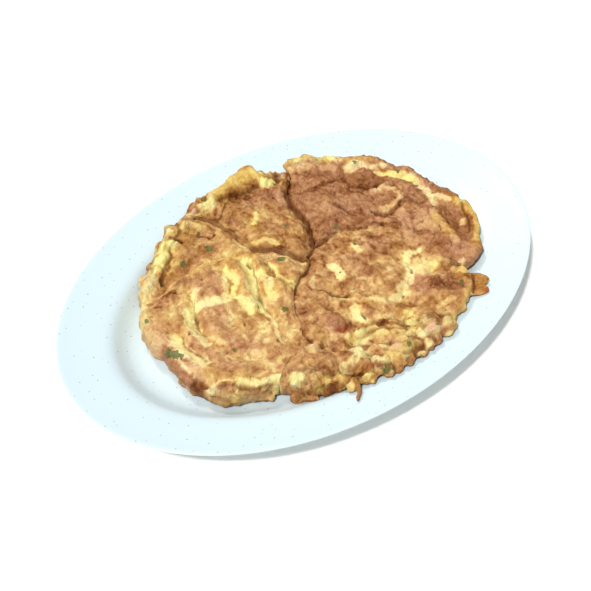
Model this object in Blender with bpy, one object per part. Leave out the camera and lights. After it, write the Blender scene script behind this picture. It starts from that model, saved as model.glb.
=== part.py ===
"""Plate of egg foo young: a thick omelette on an oval plate.

The omelette is parted into four pieces that have stayed together.

Points and sizes in the tables are millimetres. X runs along the plate's long axis, +Z is up, and the
origin is on the table under the middle of the plate.
"""

import math

import bpy
from mathutils import Vector, geometry, noise

MM = 0.001

# The plate: half its length and width, and its profile as (inset at the ends, inset at the sides, height).
HALF_LENGTH = 152.5
HALF_WIDTH = 106.0
PLATE_SIDES = 72
LIP = (0.0, 0.0, 23.5)
TOP_PROFILE = [
    (0.4, 0.4, 24.0),
    (1.4, 1.4, 24.1),
    (9.0, 7.5, 22.0),
    (20.0, 16.5, 19.4),
    (29.0, 24.0, 17.3),
    (32.5, 27.2, 15.4),
    (36.5, 31.0, 11.6),
    (40.5, 35.0, 8.6),
    (46.0, 40.5, 6.7),
    (54.0, 48.0, 6.0),
]
UNDER_PROFILE = [
    (52.0, 46.0, 2.6),
    (48.5, 42.5, 2.4),
    (47.5, 41.5, 0.0),
    (44.0, 38.0, 0.0),
    (42.5, 36.5, 3.2),
    (37.5, 31.5, 8.0),
    (31.5, 26.0, 13.4),
    (20.0, 16.5, 16.2),
    (9.0, 7.5, 19.2),
    (1.0, 1.0, 22.4),
]

# The omelette lies a little off the plate's middle. Its outlines are read from this point.
FOOD_CENTRE = (4.0, 3.0)
PLATE_GAP = 0.45
SEAM_GAP = 0.35
THICKNESS_ON_FLOOR = 14.8
THINNING_ON_RIM = 0.62
THINNEST = 5.5
SHOULDER = 6.5
BULGE_HEIGHT = 0.42
TUCK_UNDER = 2.2
SHOULDER_INSET = 1.3

# How finely the solids are cut into triangles.
OUTLINE_STEP = 3.3
TOP_STEP = 3.35
UNDER_STEP = 11.0
CURVE_SAMPLES = 12

# Where pieces meet: (x, y, share of the thickness that is left at the seam).
MEET_LEFT = (5.0, 5.0, 0.42)
MEET_RIGHT = (14.0, 10.0, 0.40)
SEAM_TOP_LEFT = [
    MEET_LEFT, (1.5, 9.0, 0.42), (-1.0, 13.5, 0.42), (-3.0, 18.5, 0.42), (-7.0, 24.0, 0.42),
    (-11.0, 28.0, 0.42), (-15.0, 32.5, 0.45), (-16.0, 39.0, 0.50), (-16.0, 45.0, 0.55), (-16.5, 52.0, 0.60),
    (-18.0, 58.5, 0.60), (-20.0, 65.0, 0.45), (-23.0, 71.0, 0.45), (-28.0, 76.0, 0.50), (-31.0, 79.0, 0.45),
]
SEAM_MIDDLE = [MEET_LEFT, (9.5, 7.0, 0.42), MEET_RIGHT]
SEAM_TOP_RIGHT = [
    MEET_RIGHT, (17.0, 14.0, 0.40), (20.5, 20.0, 0.40), (23.5, 25.5, 0.40), (24.5, 31.0, 0.40),
    (25.5, 37.0, 0.40), (26.5, 42.5, 0.40), (28.0, 49.0, 0.40), (30.5, 54.5, 0.42), (34.0, 59.0, 0.45),
    (38.5, 62.5, 0.42), (42.0, 66.0, 0.40), (43.5, 71.5, 0.42),
]
SEAM_RIGHT = [
    MEET_RIGHT, (20.0, 9.7, 0.42), (27.0, 10.5, 0.45), (33.0, 10.8, 0.50), (38.0, 8.5, 0.62),
    (43.0, 5.5, 0.68), (50.0, 4.0, 0.62), (56.0, 1.5, 0.62), (60.5, -5.0, 0.78), (63.5, -12.0, 0.88),
    (66.5, -20.0, 0.88), (66.2, -29.0, 0.82), (66.0, -38.0, 0.80), (68.5, -47.0, 0.70), (72.0, -55.0, 0.45),
]
SEAM_BOTTOM_LEFT = [
    MEET_LEFT, (3.0, 1.0, 0.42), (-2.0, -2.5, 0.45), (-8.0, -4.5, 0.45), (-13.5, -7.5, 0.45),
    (-19.0, -12.0, 0.48), (-24.0, -18.0, 0.50), (-28.0, -25.0, 0.50), (-31.0, -33.0, 0.55),
    (-37.0, -40.0, 0.70), (-45.0, -45.0, 0.76), (-53.0, -48.0, 0.72), (-60.0, -51.5, 0.55),
    (-64.0, -55.0, 0.45),
]

# The outer edges, each from one notch to the next, anticlockwise seen from above: (x, y).
EDGE_TOP = [
    (39.5, 74.0), (34.0, 76.0), (29.5, 79.0), (27.5, 83.5), (25.0, 90.0), (20.0, 89.5), (14.0, 87.5),
    (7.0, 86.0), (0.0, 84.5), (-7.0, 84.5), (-14.0, 84.5), (-21.0, 82.0), (-27.0, 81.5),
]
EDGE_LEFT = [
    (-36.0, 77.5), (-41.5, 76.5), (-45.5, 79.0), (-48.0, 74.5), (-54.0, 71.5), (-60.0, 67.0), (-66.0, 62.5),
    (-72.5, 57.5), (-79.0, 53.5), (-84.0, 49.0), (-88.0, 43.5), (-92.5, 37.0), (-96.5, 30.0), (-99.5, 24.0),
    (-101.0, 17.0), (-101.5, 9.0), (-101.0, 1.0), (-101.5, -8.0), (-102.5, -17.0), (-102.5, -24.0),
    (-99.0, -29.0), (-97.0, -35.0), (-95.0, -41.0), (-90.5, -46.0), (-83.0, -50.0), (-75.5, -52.5),
    (-69.0, -54.0),
]
EDGE_BOTTOM = [
    (-62.0, -59.0), (-58.5, -63.5), (-55.0, -68.5), (-49.5, -71.5), (-43.0, -74.0), (-38.5, -78.5),
    (-34.0, -82.5), (-27.0, -84.8), (-18.0, -87.3), (-9.0, -89.3), (0.0, -90.5), (8.0, -90.5), (17.0, -90.3),
    (26.0, -89.0), (33.5, -88.5), (38.0, -85.5), (41.0, -82.5), (47.0, -82.0), (53.5, -79.0), (59.0, -77.0),
    (62.0, -79.5), (67.0, -80.5), (70.5, -77.5), (73.5, -73.0), (72.5, -67.0), (70.5, -61.5),
]
EDGE_RIGHT = [
    (76.5, -58.0), (82.0, -59.0), (88.0, -56.0), (93.0, -51.0), (98.0, -45.0), (103.0, -39.5), (107.5, -34.0),
    (110.5, -26.0), (112.5, -17.0), (113.0, -8.0), (111.5, 0.5), (109.5, 9.5), (109.0, 17.5), (107.0, 25.5),
    (103.0, 33.0), (99.5, 40.0), (96.0, 46.5), (90.0, 52.5), (83.0, 56.5), (77.5, 59.5), (73.5, 64.5),
    (67.0, 70.0), (60.0, 74.0), (53.0, 77.0), (48.0, 78.0), (44.5, 75.0),
]
EDGE_SHARE = 0.46
NOTCH_SHARE = 0.42

# Raised and sunk places of the sheet: (x, y, radius, height).
MOUNDS = [
    (9.0, 17.0, 9.0, 1.8), (-4.0, 28.0, 11.0, 1.6), (15.0, 34.0, 11.0, 1.6), (-4.0, 52.0, 15.0, 0.8),
    (16.0, 75.0, 9.0, -2.6), (-6.0, 78.0, 8.0, -1.0), (33.0, 69.0, 6.0, -2.2), (28.0, 73.0, 4.0, 2.0),
    (40.0, 24.0, 15.0, 1.6), (44.0, 52.0, 12.0, 1.2), (54.0, -1.0, 6.0, -2.6), (88.0, 20.0, 9.0, 0.9),
    (78.0, 52.0, 7.0, 1.2), (96.0, -28.0, 9.0, -2.0), (84.0, -42.0, 9.0, 1.2), (60.0, 62.0, 9.0, -1.0),
    (-54.0, -8.0, 36.0, 2.4), (-10.0, 10.0, 8.0, 1.6), (-50.0, 60.0, 9.0, 1.2), (-26.0, 62.0, 6.0, 1.4),
    (-92.0, 8.0, 9.0, 0.8), (26.0, -20.0, 22.0, 1.8), (-14.0, -42.0, 9.0, 2.0), (-6.0, -14.0, 9.0, 1.4),
    (51.0, -59.0, 10.0, 1.6), (30.0, -60.0, 7.0, -0.8), (6.0, -62.0, 9.0, 0.8), (-42.0, -64.0, 9.0, 1.4),
    (-54.0, -62.0, 5.0, 1.4), (66.0, -72.0, 7.0, 1.4),
]

# Folds of the sheet, as ridges and furrows: (height, half width, points).
FOLDS = [
    (-3.4, 4.4, [(-86, 38), (-75, 39), (-66, 42), (-56, 43), (-45, 42), (-34, 40), (-26, 35)]),
    (1.4, 3.2, [(-73, 34), (-64, 35), (-52, 34), (-40, 33), (-31, 31)]),
    (1.8, 4.6, [(-47, 71), (-58, 63), (-70, 56), (-79, 49), (-88, 40), (-94, 29)]),
    (-2.6, 2.4, [(-17, 17), (-18, 8), (-16, 1), (-15, -6), (-14, -10)]),
    (1.7, 3.6, [(-19, 20), (-22, 10), (-22, 0), (-21, -8), (-24, -16)]),
    (-2.4, 3.0, [(-24, 29), (-26, 19), (-30, 10), (-34, 1), (-37, -9), (-40, -19)]),
    (1.5, 3.2, [(-31, 27), (-33, 17), (-38, 8), (-42, -4)]),
    (-1.8, 3.0, [(-38, 26), (-38, 17), (-44, 11), (-46, 2)]),
    (1.4, 3.4, [(-47, 30), (-47, 20), (-54, 20), (-62, 21)]),
    (-2.0, 3.6, [(-46, 12), (-54, 11), (-63, 14)]),
    (-2.8, 3.0, [(-65, 23), (-69, 15), (-73, 8), (-75, 0), (-76, -10)]),
    (1.8, 3.6, [(-60, 22), (-64, 13), (-69, 4), (-71, -6), (-73, -16)]),
    (1.5, 3.6, [(-83, 16), (-82, 4), (-81, -4), (-81, -13), (-79, -22)]),
    (-1.8, 3.2, [(-89, 6), (-88, -3), (-88, -11), (-86, -21)]),
    (2.2, 3.6, [(-92, -20), (-87, -28), (-81, -33), (-73, -38), (-65, -40)]),
    (-2.4, 3.0, [(-97, -26), (-91, -33), (-84, -40), (-77, -45), (-69, -47)]),
    (1.4, 3.0, [(-89, -37), (-82, -42), (-76, -46), (-69, -49)]),
    (-1.9, 3.0, [(5, 28), (1, 21), (-3, 15)]),
    (-2.0, 3.0, [(-31, 66), (-28, 60), (-21, 58)]),
    (3.4, 4.0, [(0, 82), (10, 84), (19, 83), (26, 84)]),
    (-1.4, 3.4, [(-16, 68), (-6, 70), (4, 72)]),
    (-1.8, 3.2, [(70, 49), (67, 42), (69, 36), (74, 31)]),
    (-1.8, 3.0, [(67, 17), (67, 11), (71, 6), (78, 8)]),
    (1.5, 3.0, [(84, 14), (80, 21), (74, 24)]),
    (-1.7, 3.0, [(64, 8), (70, 1), (69, -6), (66, -13)]),
    (-1.6, 3.6, [(90, 33), (97, 25), (99, 14), (97, 2), (97, -8)]),
    (1.7, 3.6, [(92, -7), (90, -19), (86, -30), (81, -40)]),
    (-1.6, 3.2, [(102, -16), (98, -26), (91, -37)]),
    (1.6, 3.4, [(108, -22), (106, -33), (99, -41)]),
    (-2.2, 2.6, [(-4, -21), (-1, -26), (4, -29), (9, -30)]),
    (-1.7, 2.6, [(40, -17), (44, -24)]),
    (-2.0, 3.8, [(47, -28), (49, -35), (43, -42), (33, -48), (27, -52)]),
    (-1.5, 3.6, [(53, -38), (59, -43), (50, -48), (42, -49)]),
    (-1.9, 3.0, [(22, -52), (27, -57), (31, -62)]),
    (-1.5, 3.4, [(-1, -39), (-1, -48), (4, -54), (12, -58), (19, -67)]),
    (1.4, 3.6, [(8, -36), (14, -46), (24, -56)]),
    (-1.8, 2.8, [(-32, -35), (-32, -41), (-31, -48)]),
    (-1.8, 3.0, [(-10, -30), (-8, -40), (-7, -50)]),
    (-1.8, 3.2, [(-42, -47), (-33, -53), (-23, -58), (-12, -61)]),
    (1.3, 3.4, [(-6, -57), (3, -61), (10, -67)]),
    (-2.4, 3.0, [(-33, -71), (-27, -77), (-23, -80)]),
    (-2.4, 3.2, [(62, -60), (60, -66), (60, -73)]),
]

# Diced things that stand out of the egg: (x, y, radius, height).
BITS = [
    (-94.0, -12.0, 3.4, 1.6), (-99.0, -1.0, 2.4, 1.4), (-96.0, 24.0, 2.4, 1.2), (-31.0, -20.0, 2.2, 1.3),
    (-5.0, 12.0, 2.4, 1.1), (-26.0, 74.0, 2.6, 1.2), (-17.0, -77.0, 3.2, 1.6), (25.0, -76.0, 3.8, 1.6),
    (63.0, -64.0, 2.6, 1.4), (32.0, -6.0, 2.2, 1.2), (-18.0, -66.0, 3.2, 1.3), (51.0, 47.0, 2.6, 1.0),
    (11.0, 30.0, 2.2, 1.0), (-54.0, -61.0, 3.6, 1.3), (68.0, -74.0, 2.6, 1.4), (-49.0, -33.0, 2.0, 1.1),
]

# Each piece's colour and roughness.
COLOURS = {
    "plate": ((0.86, 0.89, 0.90, 1.0), 0.28),
    "egg_top": ((0.60, 0.34, 0.12, 1.0), 0.62),
    "egg_right": ((0.55, 0.28, 0.11, 1.0), 0.62),
    "egg_left": ((0.72, 0.47, 0.17, 1.0), 0.62),
    "egg_bottom": ((0.62, 0.36, 0.13, 1.0), 0.62),
}


def clear_scene():
    for obj in list(bpy.data.objects):
        bpy.data.objects.remove(obj, do_unlink=True)


def material(name):
    """A Principled material with the named colour and roughness."""
    colour, roughness = COLOURS[name]
    made = bpy.data.materials.new(name)
    made.use_nodes = True
    shader = made.node_tree.nodes["Principled BSDF"]
    shader.inputs["Base Color"].default_value = colour
    shader.inputs["Roughness"].default_value = roughness
    shader.inputs["Metallic"].default_value = 0.0
    made.diffuse_color = colour
    return made


def mesh_object(name, points, faces):
    """An object from points in millimetres, shaded smooth."""
    mesh = bpy.data.meshes.new(name)
    mesh.from_pydata([tuple(c * MM for c in p) for p in points], [], faces)
    mesh.validate()
    mesh.materials.append(material(name))
    mesh.shade_smooth()
    mesh.set_sharp_from_angle(angle=math.radians(50))
    obj = bpy.data.objects.new(name, mesh)
    bpy.context.scene.collection.objects.link(obj)
    return obj


# ---------------------------------------------------------------- plate


def plate_ring(station):
    """The points of one level of the plate, an ellipse inset from the rim."""
    end_inset, side_inset, height = station
    along, across = HALF_LENGTH - end_inset, HALF_WIDTH - side_inset
    turns = [2 * math.pi * k / PLATE_SIDES for k in range(PLATE_SIDES)]
    return [(along * math.cos(t), across * math.sin(t), height) for t in turns]


def build_plate():
    stations = [*reversed(TOP_PROFILE), LIP, *reversed(UNDER_PROFILE)]
    points = [p for station in stations for p in plate_ring(station)]
    faces = []
    for level in range(len(stations) - 1):
        for k in range(PLATE_SIDES):
            a = level * PLATE_SIDES + k
            b = level * PLATE_SIDES + (k + 1) % PLATE_SIDES
            faces.append((a, a + PLATE_SIDES, b + PLATE_SIDES, b))
    last_ring = (len(stations) - 1) * PLATE_SIDES
    top_middle = len(points)
    under_middle = top_middle + 1
    points.append((0.0, 0.0, stations[0][2]))
    points.append((0.0, 0.0, stations[-1][2]))
    for k in range(PLATE_SIDES):
        after = (k + 1) % PLATE_SIDES
        faces.append((top_middle, k, after))
        faces.append((under_middle, last_ring + after, last_ring + k))
    return mesh_object("plate", points, faces)


def plate_height(x, y):
    """The height of the plate's upper face at a place, from the ellipses on either side of it."""
    outer = None
    for end_inset, side_inset, height in TOP_PROFILE:
        reach = math.hypot(x / (HALF_LENGTH - end_inset), y / (HALF_WIDTH - side_inset))
        if reach >= 1.0:
            if outer is None:
                return height
            outer_reach, outer_height = outer
            share = (1 / outer_reach - 1) / (1 / outer_reach - 1 / reach)
            return outer_height + share * (height - outer_height)
        outer = (max(reach, 1e-6), height)
    return TOP_PROFILE[-1][2]


def highest_near(x, y, radius):
    """The plate's greatest height on a small circle, so that long edges over its curves stay clear of it."""
    turns = [k * math.pi / 4 for k in range(8)]
    around = [(x + radius * math.cos(t), y + radius * math.sin(t)) for t in turns]
    return max(plate_height(*place) for place in [(x, y), *around])


# ---------------------------------------------------------------- outlines


def smooth_curve(points, closed=False):
    """Points along a Catmull-Rom curve through the given ones, of any number of coordinates."""
    count = len(points)
    spans = count if closed else count - 1
    curve = []
    for k in range(spans):
        if closed:
            four = [points[(k + j) % count] for j in (-1, 0, 1, 2)]
        else:
            four = [points[max(0, min(count - 1, k + j))] for j in (-1, 0, 1, 2)]
        for step in range(CURVE_SAMPLES):
            t = step / CURVE_SAMPLES
            weights = (
                0.5 * (-t + 2 * t * t - t**3),
                0.5 * (2 - 5 * t * t + 3 * t**3),
                0.5 * (t + 4 * t * t - 3 * t**3),
                0.5 * (t**3 - t * t),
            )
            curve.append(tuple(sum(w * p[c] for w, p in zip(weights, four)) for c in range(len(points[0]))))
    if not closed:
        curve.append(tuple(points[-1]))
    return curve


def spaced(curve, step):
    """Points at even distances along a curve, both ends kept."""
    lengths = [0.0]
    for a, b in zip(curve, curve[1:]):
        lengths.append(lengths[-1] + math.dist(a[:2], b[:2]))
    count = max(1, round(lengths[-1] / step))
    found = []
    k = 0
    for n in range(count + 1):
        wanted = lengths[-1] * n / count
        while k < len(curve) - 2 and lengths[k + 1] < wanted:
            k += 1
        span = lengths[k + 1] - lengths[k]
        t = 0.0 if span == 0 else (wanted - lengths[k]) / span
        found.append(tuple(a + t * (b - a) for a, b in zip(curve[k], curve[k + 1])))
    return found


def ragged(curve):
    """An outer edge with the small waves of fried egg."""
    made = []
    for k, point in enumerate(curve):
        before = curve[max(0, k - 1)]
        after = curve[min(len(curve) - 1, k + 1)]
        along = Vector((after[0] - before[0], after[1] - before[1])).normalized()
        fade = min(1.0, k / 4, (len(curve) - 1 - k) / 4)
        wave = noise.noise(Vector((point[0] * 0.16, point[1] * 0.16, 3.0))) * 1.9
        wave += noise.noise(Vector((point[0] * 0.41, point[1] * 0.41, 8.0))) * 1.1
        made.append((point[0] + along.y * wave * fade, point[1] - along.x * wave * fade, point[2]))
    return made


def outer_edge(start, edge, end):
    """The curve of an outer edge between the ends of two seams."""
    points = [(*start[:2], NOTCH_SHARE), *((x, y, EDGE_SHARE) for x, y in edge), (*end[:2], NOTCH_SHARE)]
    return ragged(spaced(smooth_curve(points), OUTLINE_STEP))


def seam(points):
    return spaced(smooth_curve(points), OUTLINE_STEP)


def outlines():
    """Each piece's closed outline, anticlockwise: its name and its points, (x, y, share of thickness)."""
    top_left, top_right = seam(SEAM_TOP_LEFT), seam(SEAM_TOP_RIGHT)
    middle, right, bottom_left = seam(SEAM_MIDDLE), seam(SEAM_RIGHT), seam(SEAM_BOTTOM_LEFT)
    loops = {
        "egg_top": [
            middle, top_right, outer_edge(SEAM_TOP_RIGHT[-1], EDGE_TOP, SEAM_TOP_LEFT[-1]), top_left[::-1],
        ],
        "egg_right": [
            right, outer_edge(SEAM_RIGHT[-1], EDGE_RIGHT, SEAM_TOP_RIGHT[-1]), top_right[::-1],
        ],
        "egg_left": [
            top_left, outer_edge(SEAM_TOP_LEFT[-1], EDGE_LEFT, SEAM_BOTTOM_LEFT[-1]), bottom_left[::-1],
        ],
        "egg_bottom": [
            bottom_left, outer_edge(SEAM_BOTTOM_LEFT[-1], EDGE_BOTTOM, SEAM_RIGHT[-1]), right[::-1],
            middle[::-1],
        ],
    }
    return {name: [p for part in parts for p in part[:-1]] for name, parts in loops.items()}


def free_reach(x, y, along, reach, spread, loop):
    """How far an outline's point can move inwards before it comes close to another stretch of the outline."""
    free = reach
    while free > 0.2 and nearest_edge(x - along.y * free, y + along.x * free, loop)[0] < 0.97 * free * spread:
        free *= 0.9
    return free if free == reach else 0.8 * free


def inset(loop, distance):
    """The loop moved inwards, to the left of its own direction, and less where it is too narrow for that."""
    moved = []
    for k, (x, y, share) in enumerate(loop):
        before, after = loop[k - 1], loop[(k + 1) % len(loop)]
        arriving = Vector((x - before[0], y - before[1]))
        leaving = Vector((after[0] - x, after[1] - y))
        room = 0.6 * min(arriving.length, leaving.length)
        along = (arriving.normalized() + leaving.normalized()).normalized()
        spread = max(0.2, along.dot(leaving.normalized()))
        reach = distance / spread
        if spread < 0.9:
            reach = min(reach, room)
        free = free_reach(x, y, along, reach, spread, loop)
        moved.append((x - along.y * free, y + along.x * free, share))
    return moved


def inside(x, y, loop):
    """Whether a place is inside a loop, by counting crossings."""
    within = False
    for (ax, ay, _), (bx, by, _) in zip(loop, loop[1:] + loop[:1]):
        if (ay > y) != (by > y) and x < ax + (y - ay) * (bx - ax) / (by - ay):
            within = not within
    return within


def nearest_edge(x, y, loop):
    """The distance to a loop, and the share of thickness at the nearest place on it."""
    best = (1e9, 0.0)
    for (ax, ay, a_share), (bx, by, b_share) in zip(loop, loop[1:] + loop[:1]):
        ex, ey = bx - ax, by - ay
        t = max(0.0, min(1.0, ((x - ax) * ex + (y - ay) * ey) / (ex * ex + ey * ey)))
        distance = math.hypot(ax + t * ex - x, ay + t * ey - y)
        if distance < best[0]:
            best = (distance, a_share + t * (b_share - a_share))
    return best


# ---------------------------------------------------------------- omelette


def line_distance(x, y, points):
    """The distance from a place to a run of straight lines."""
    best = 1e9
    for (ax, ay), (bx, by) in zip(points, points[1:]):
        ex, ey = bx - ax, by - ay
        t = max(0.0, min(1.0, ((x - ax) * ex + (y - ay) * ey) / (ex * ex + ey * ey)))
        best = min(best, math.hypot(ax + t * ex - x, ay + t * ey - y))
    return best


FOLD_CURVES = [(height, width, spaced(smooth_curve(points), 3.0)) for height, width, points in FOLDS]


def relief(x, y):
    """How far the omelette's upper face stands above or below its plain sheet."""
    height = 0.0
    for mx, my, radius, rise in MOUNDS:
        height += rise * math.exp(-((x - mx) ** 2 + (y - my) ** 2) / radius**2)
    for rise, width, curve in FOLD_CURVES:
        distance = line_distance(x, y, curve)
        if distance < 3 * width:
            height += rise * math.exp(-((distance / width) ** 2))
    for bx, by, radius, rise in BITS:
        distance = math.hypot(x - bx, y - by)
        if distance < radius:
            height += rise
    height += 1.5 * noise.noise(Vector((x * 0.055, y * 0.055, 1.0)))
    height += 1.3 * noise.noise(Vector((x * 0.13, y * 0.13, 5.0)))
    return height


def under_face(x, y, clearance_radius):
    """The height of the omelette's lower face, which lies along the plate."""
    px, py = x + FOOD_CENTRE[0], y + FOOD_CENTRE[1]
    return highest_near(px, py, clearance_radius) + PLATE_GAP


def thickness(x, y):
    """The plain sheet's thickness: less where the plate rises under it."""
    climb = plate_height(x + FOOD_CENTRE[0], y + FOOD_CENTRE[1]) - TOP_PROFILE[-1][2]
    return max(THINNEST, THICKNESS_ON_FLOOR - THINNING_ON_RIM * climb)


def top_face(x, y, loop):
    """The height of the omelette's upper face, rounded down towards the piece's own outline."""
    distance, share = nearest_edge(x, y, loop)
    toward = min(1.0, distance / SHOULDER)
    rounding = share + (1 - share) * math.sqrt(1 - (1 - toward) ** 2)
    thick = thickness(x, y)
    return under_face(x, y, 0.0) + max(2.6, thick * rounding + relief(x, y) * (0.35 + 0.65 * toward))


def fill_points(loop, step, clearance):
    """Even points inside a loop, in staggered rows, with a ring and a middle for each bit that stands out."""
    found = []
    bits = [b for b in BITS if step < UNDER_STEP and inside(b[0], b[1], loop)]
    for bx, by, radius, _ in bits:
        found.append((bx, by))
        for reach in (0.82 * radius, 1.35 * radius):
            for k in range(6):
                turn = k * math.pi / 3
                place = (bx + reach * math.cos(turn), by + reach * math.sin(turn))
                if inside(*place, loop) and nearest_edge(*place, loop)[0] > clearance:
                    found.append(place)
    xs = [p[0] for p in loop]
    ys = [p[1] for p in loop]
    row_height = step * math.sqrt(3) / 2
    rows = int((max(ys) - min(ys)) / row_height) + 1
    columns = int((max(xs) - min(xs)) / step) + 2
    for row in range(rows):
        y = min(ys) + row * row_height
        for column in range(columns):
            x = min(xs) + (column + 0.5 * (row % 2)) * step
            if not inside(x, y, loop) or nearest_edge(x, y, loop)[0] < clearance:
                continue
            if all(math.hypot(x - b[0], y - b[1]) > 1.35 * b[2] + 0.45 * step for b in bits):
                found.append((x, y))
    return found


def filled(loop, extra):
    """Triangles that fill the loop and use the extra points. The loop's points are numbered first."""
    places = [Vector(p[:2]) for p in loop] + [Vector(p) for p in extra]
    edge = list(range(len(loop)))
    verts, _, faces, origins, _, _ = geometry.delaunay_2d_cdt(places, [], [edge], 1, 1e-5)
    number = {}
    for k, origin in enumerate(origins):
        number[k] = origin[0] if origin else len(places)
    if max(number.values()) >= len(places) or len(verts) != len(places):
        raise ValueError("an outline crosses itself")
    return [tuple(number[v] for v in face) for face in faces]


def build_piece(name, loop):
    """One piece of the omelette: an upper face, a bulging side and a lower face along the plate."""
    bulge = inset(loop, SEAM_GAP)
    shoulder = inset(loop, SHOULDER_INSET)
    tuck = inset(loop, TUCK_UNDER)
    top_extra = fill_points(shoulder, TOP_STEP, 0.55 * TOP_STEP)
    under_extra = fill_points(tuck, UNDER_STEP, 0.5 * UNDER_STEP)
    count = len(loop)
    points = [(x, y, top_face(x, y, loop)) for x, y, _ in shoulder]
    points += [(x, y, top_face(x, y, loop)) for x, y in top_extra]
    faces = [f if facing_up(f, points) else f[::-1] for f in filled(shoulder, top_extra)]
    bulge_start = len(points)
    for (x, y, _), upper in zip(bulge, points[:count]):
        under = under_face(x, y, 0.0)
        points.append((x, y, under + BULGE_HEIGHT * (upper[2] - under)))
    tuck_start = len(points)
    points += [(x, y, under_face(x, y, 2.5)) for x, y, _ in tuck]
    points += [(x, y, under_face(x, y, 0.55 * UNDER_STEP)) for x, y in under_extra]
    for face in filled(tuck, under_extra):
        face = tuple(v + tuck_start for v in face)
        faces.append(face[::-1] if facing_up(face, points) else face)
    for upper_ring, lower_ring in ((0, bulge_start), (bulge_start, tuck_start)):
        for k in range(count):
            after = (k + 1) % count
            faces.append((upper_ring + k, lower_ring + k, lower_ring + after, upper_ring + after))
    placed = [(x + FOOD_CENTRE[0], y + FOOD_CENTRE[1], z) for x, y, z in points]
    return mesh_object(name, placed, faces)


def facing_up(face, points):
    a, b, c = (points[v] for v in face[:3])
    return (b[0] - a[0]) * (c[1] - a[1]) - (b[1] - a[1]) * (c[0] - a[0]) > 0


def main():
    clear_scene()
    build_plate()
    for name, loop in outlines().items():
        build_piece(name, loop)


main()
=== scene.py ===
"""The dressed plate of egg foo young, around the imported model.

Points and sizes in the tables are millimetres, measured from the middle of the omelette. Each piece of egg is
a finer copy of its solid, sculpted and browned by the same tables, so what is raised is also what is brown.
"""

import math
from itertools import product

import bpy
import numpy as np
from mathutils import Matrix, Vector
from mathutils.bvhtree import BVHTree


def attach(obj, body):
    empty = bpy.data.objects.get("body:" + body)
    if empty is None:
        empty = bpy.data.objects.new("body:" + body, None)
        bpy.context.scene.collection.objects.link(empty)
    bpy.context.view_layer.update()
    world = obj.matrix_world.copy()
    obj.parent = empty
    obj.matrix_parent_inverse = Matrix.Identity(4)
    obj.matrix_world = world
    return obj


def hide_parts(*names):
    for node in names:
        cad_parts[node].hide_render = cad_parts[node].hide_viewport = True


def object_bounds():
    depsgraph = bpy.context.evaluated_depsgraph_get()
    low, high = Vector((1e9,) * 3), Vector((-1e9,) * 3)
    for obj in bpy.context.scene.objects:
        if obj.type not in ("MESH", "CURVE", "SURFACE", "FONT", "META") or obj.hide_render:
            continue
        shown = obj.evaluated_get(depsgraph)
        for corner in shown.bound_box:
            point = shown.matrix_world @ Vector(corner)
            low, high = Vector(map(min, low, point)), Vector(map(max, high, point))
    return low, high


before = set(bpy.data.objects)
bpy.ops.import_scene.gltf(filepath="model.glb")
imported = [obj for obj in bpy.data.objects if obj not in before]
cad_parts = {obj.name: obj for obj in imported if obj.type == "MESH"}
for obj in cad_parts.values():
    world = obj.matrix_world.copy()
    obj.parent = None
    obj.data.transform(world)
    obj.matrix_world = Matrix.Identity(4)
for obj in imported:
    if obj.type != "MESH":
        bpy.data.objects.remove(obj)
cad_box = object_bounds()

MM = 0.001
DOWN = Vector((0, 0, -1))
# Rays that look down start at this height, in metres, which is above everything.
LOOK_FROM = 0.06
OMELETTE_MIDDLE = np.array([4.0, 3.0])
# The stretch round it that is looked at from above, a millimetre to a step.
LAND_START, LAND_END = (-116, -96), (118, 96)
# Where nothing is found below.
NOTHING = -50.0
# The size of the finer egg's faces, its clearance over the plate, and how far off a neighbour is noticed.
GRAIN = 0.62
CLEARANCE = 0.25
NEIGHBOURLY = 12.0
# Nearer to the front than this there is only the thin strand, which keeps its shape.
FRONT = -82.0
# Tones under the first are clean pale egg, kept clear of most painted shade, and strokes with a tone over the
# second are dark holes, also darkened with painted shade.
PALE, PAINTED_SHADE_ABOVE = 0.3, 0.92

# How brown each piece is where nothing else is said: 0 is pale egg, 1 is the darkest crust.
PLAIN_TONE = {"egg_top": 0.73, "egg_right": 0.78, "egg_left": 0.50, "egg_bottom": 0.61}
# How strongly each piece is mottled, and how strongly it is wrinkled.
MOTTLING = {"egg_top": 0.90, "egg_right": 0.55, "egg_left": 0.90, "egg_bottom": 0.95}
UNEVENNESS = {"egg_top": 1.0, "egg_right": 1.05, "egg_left": 0.85, "egg_bottom": 1.0}
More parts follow.
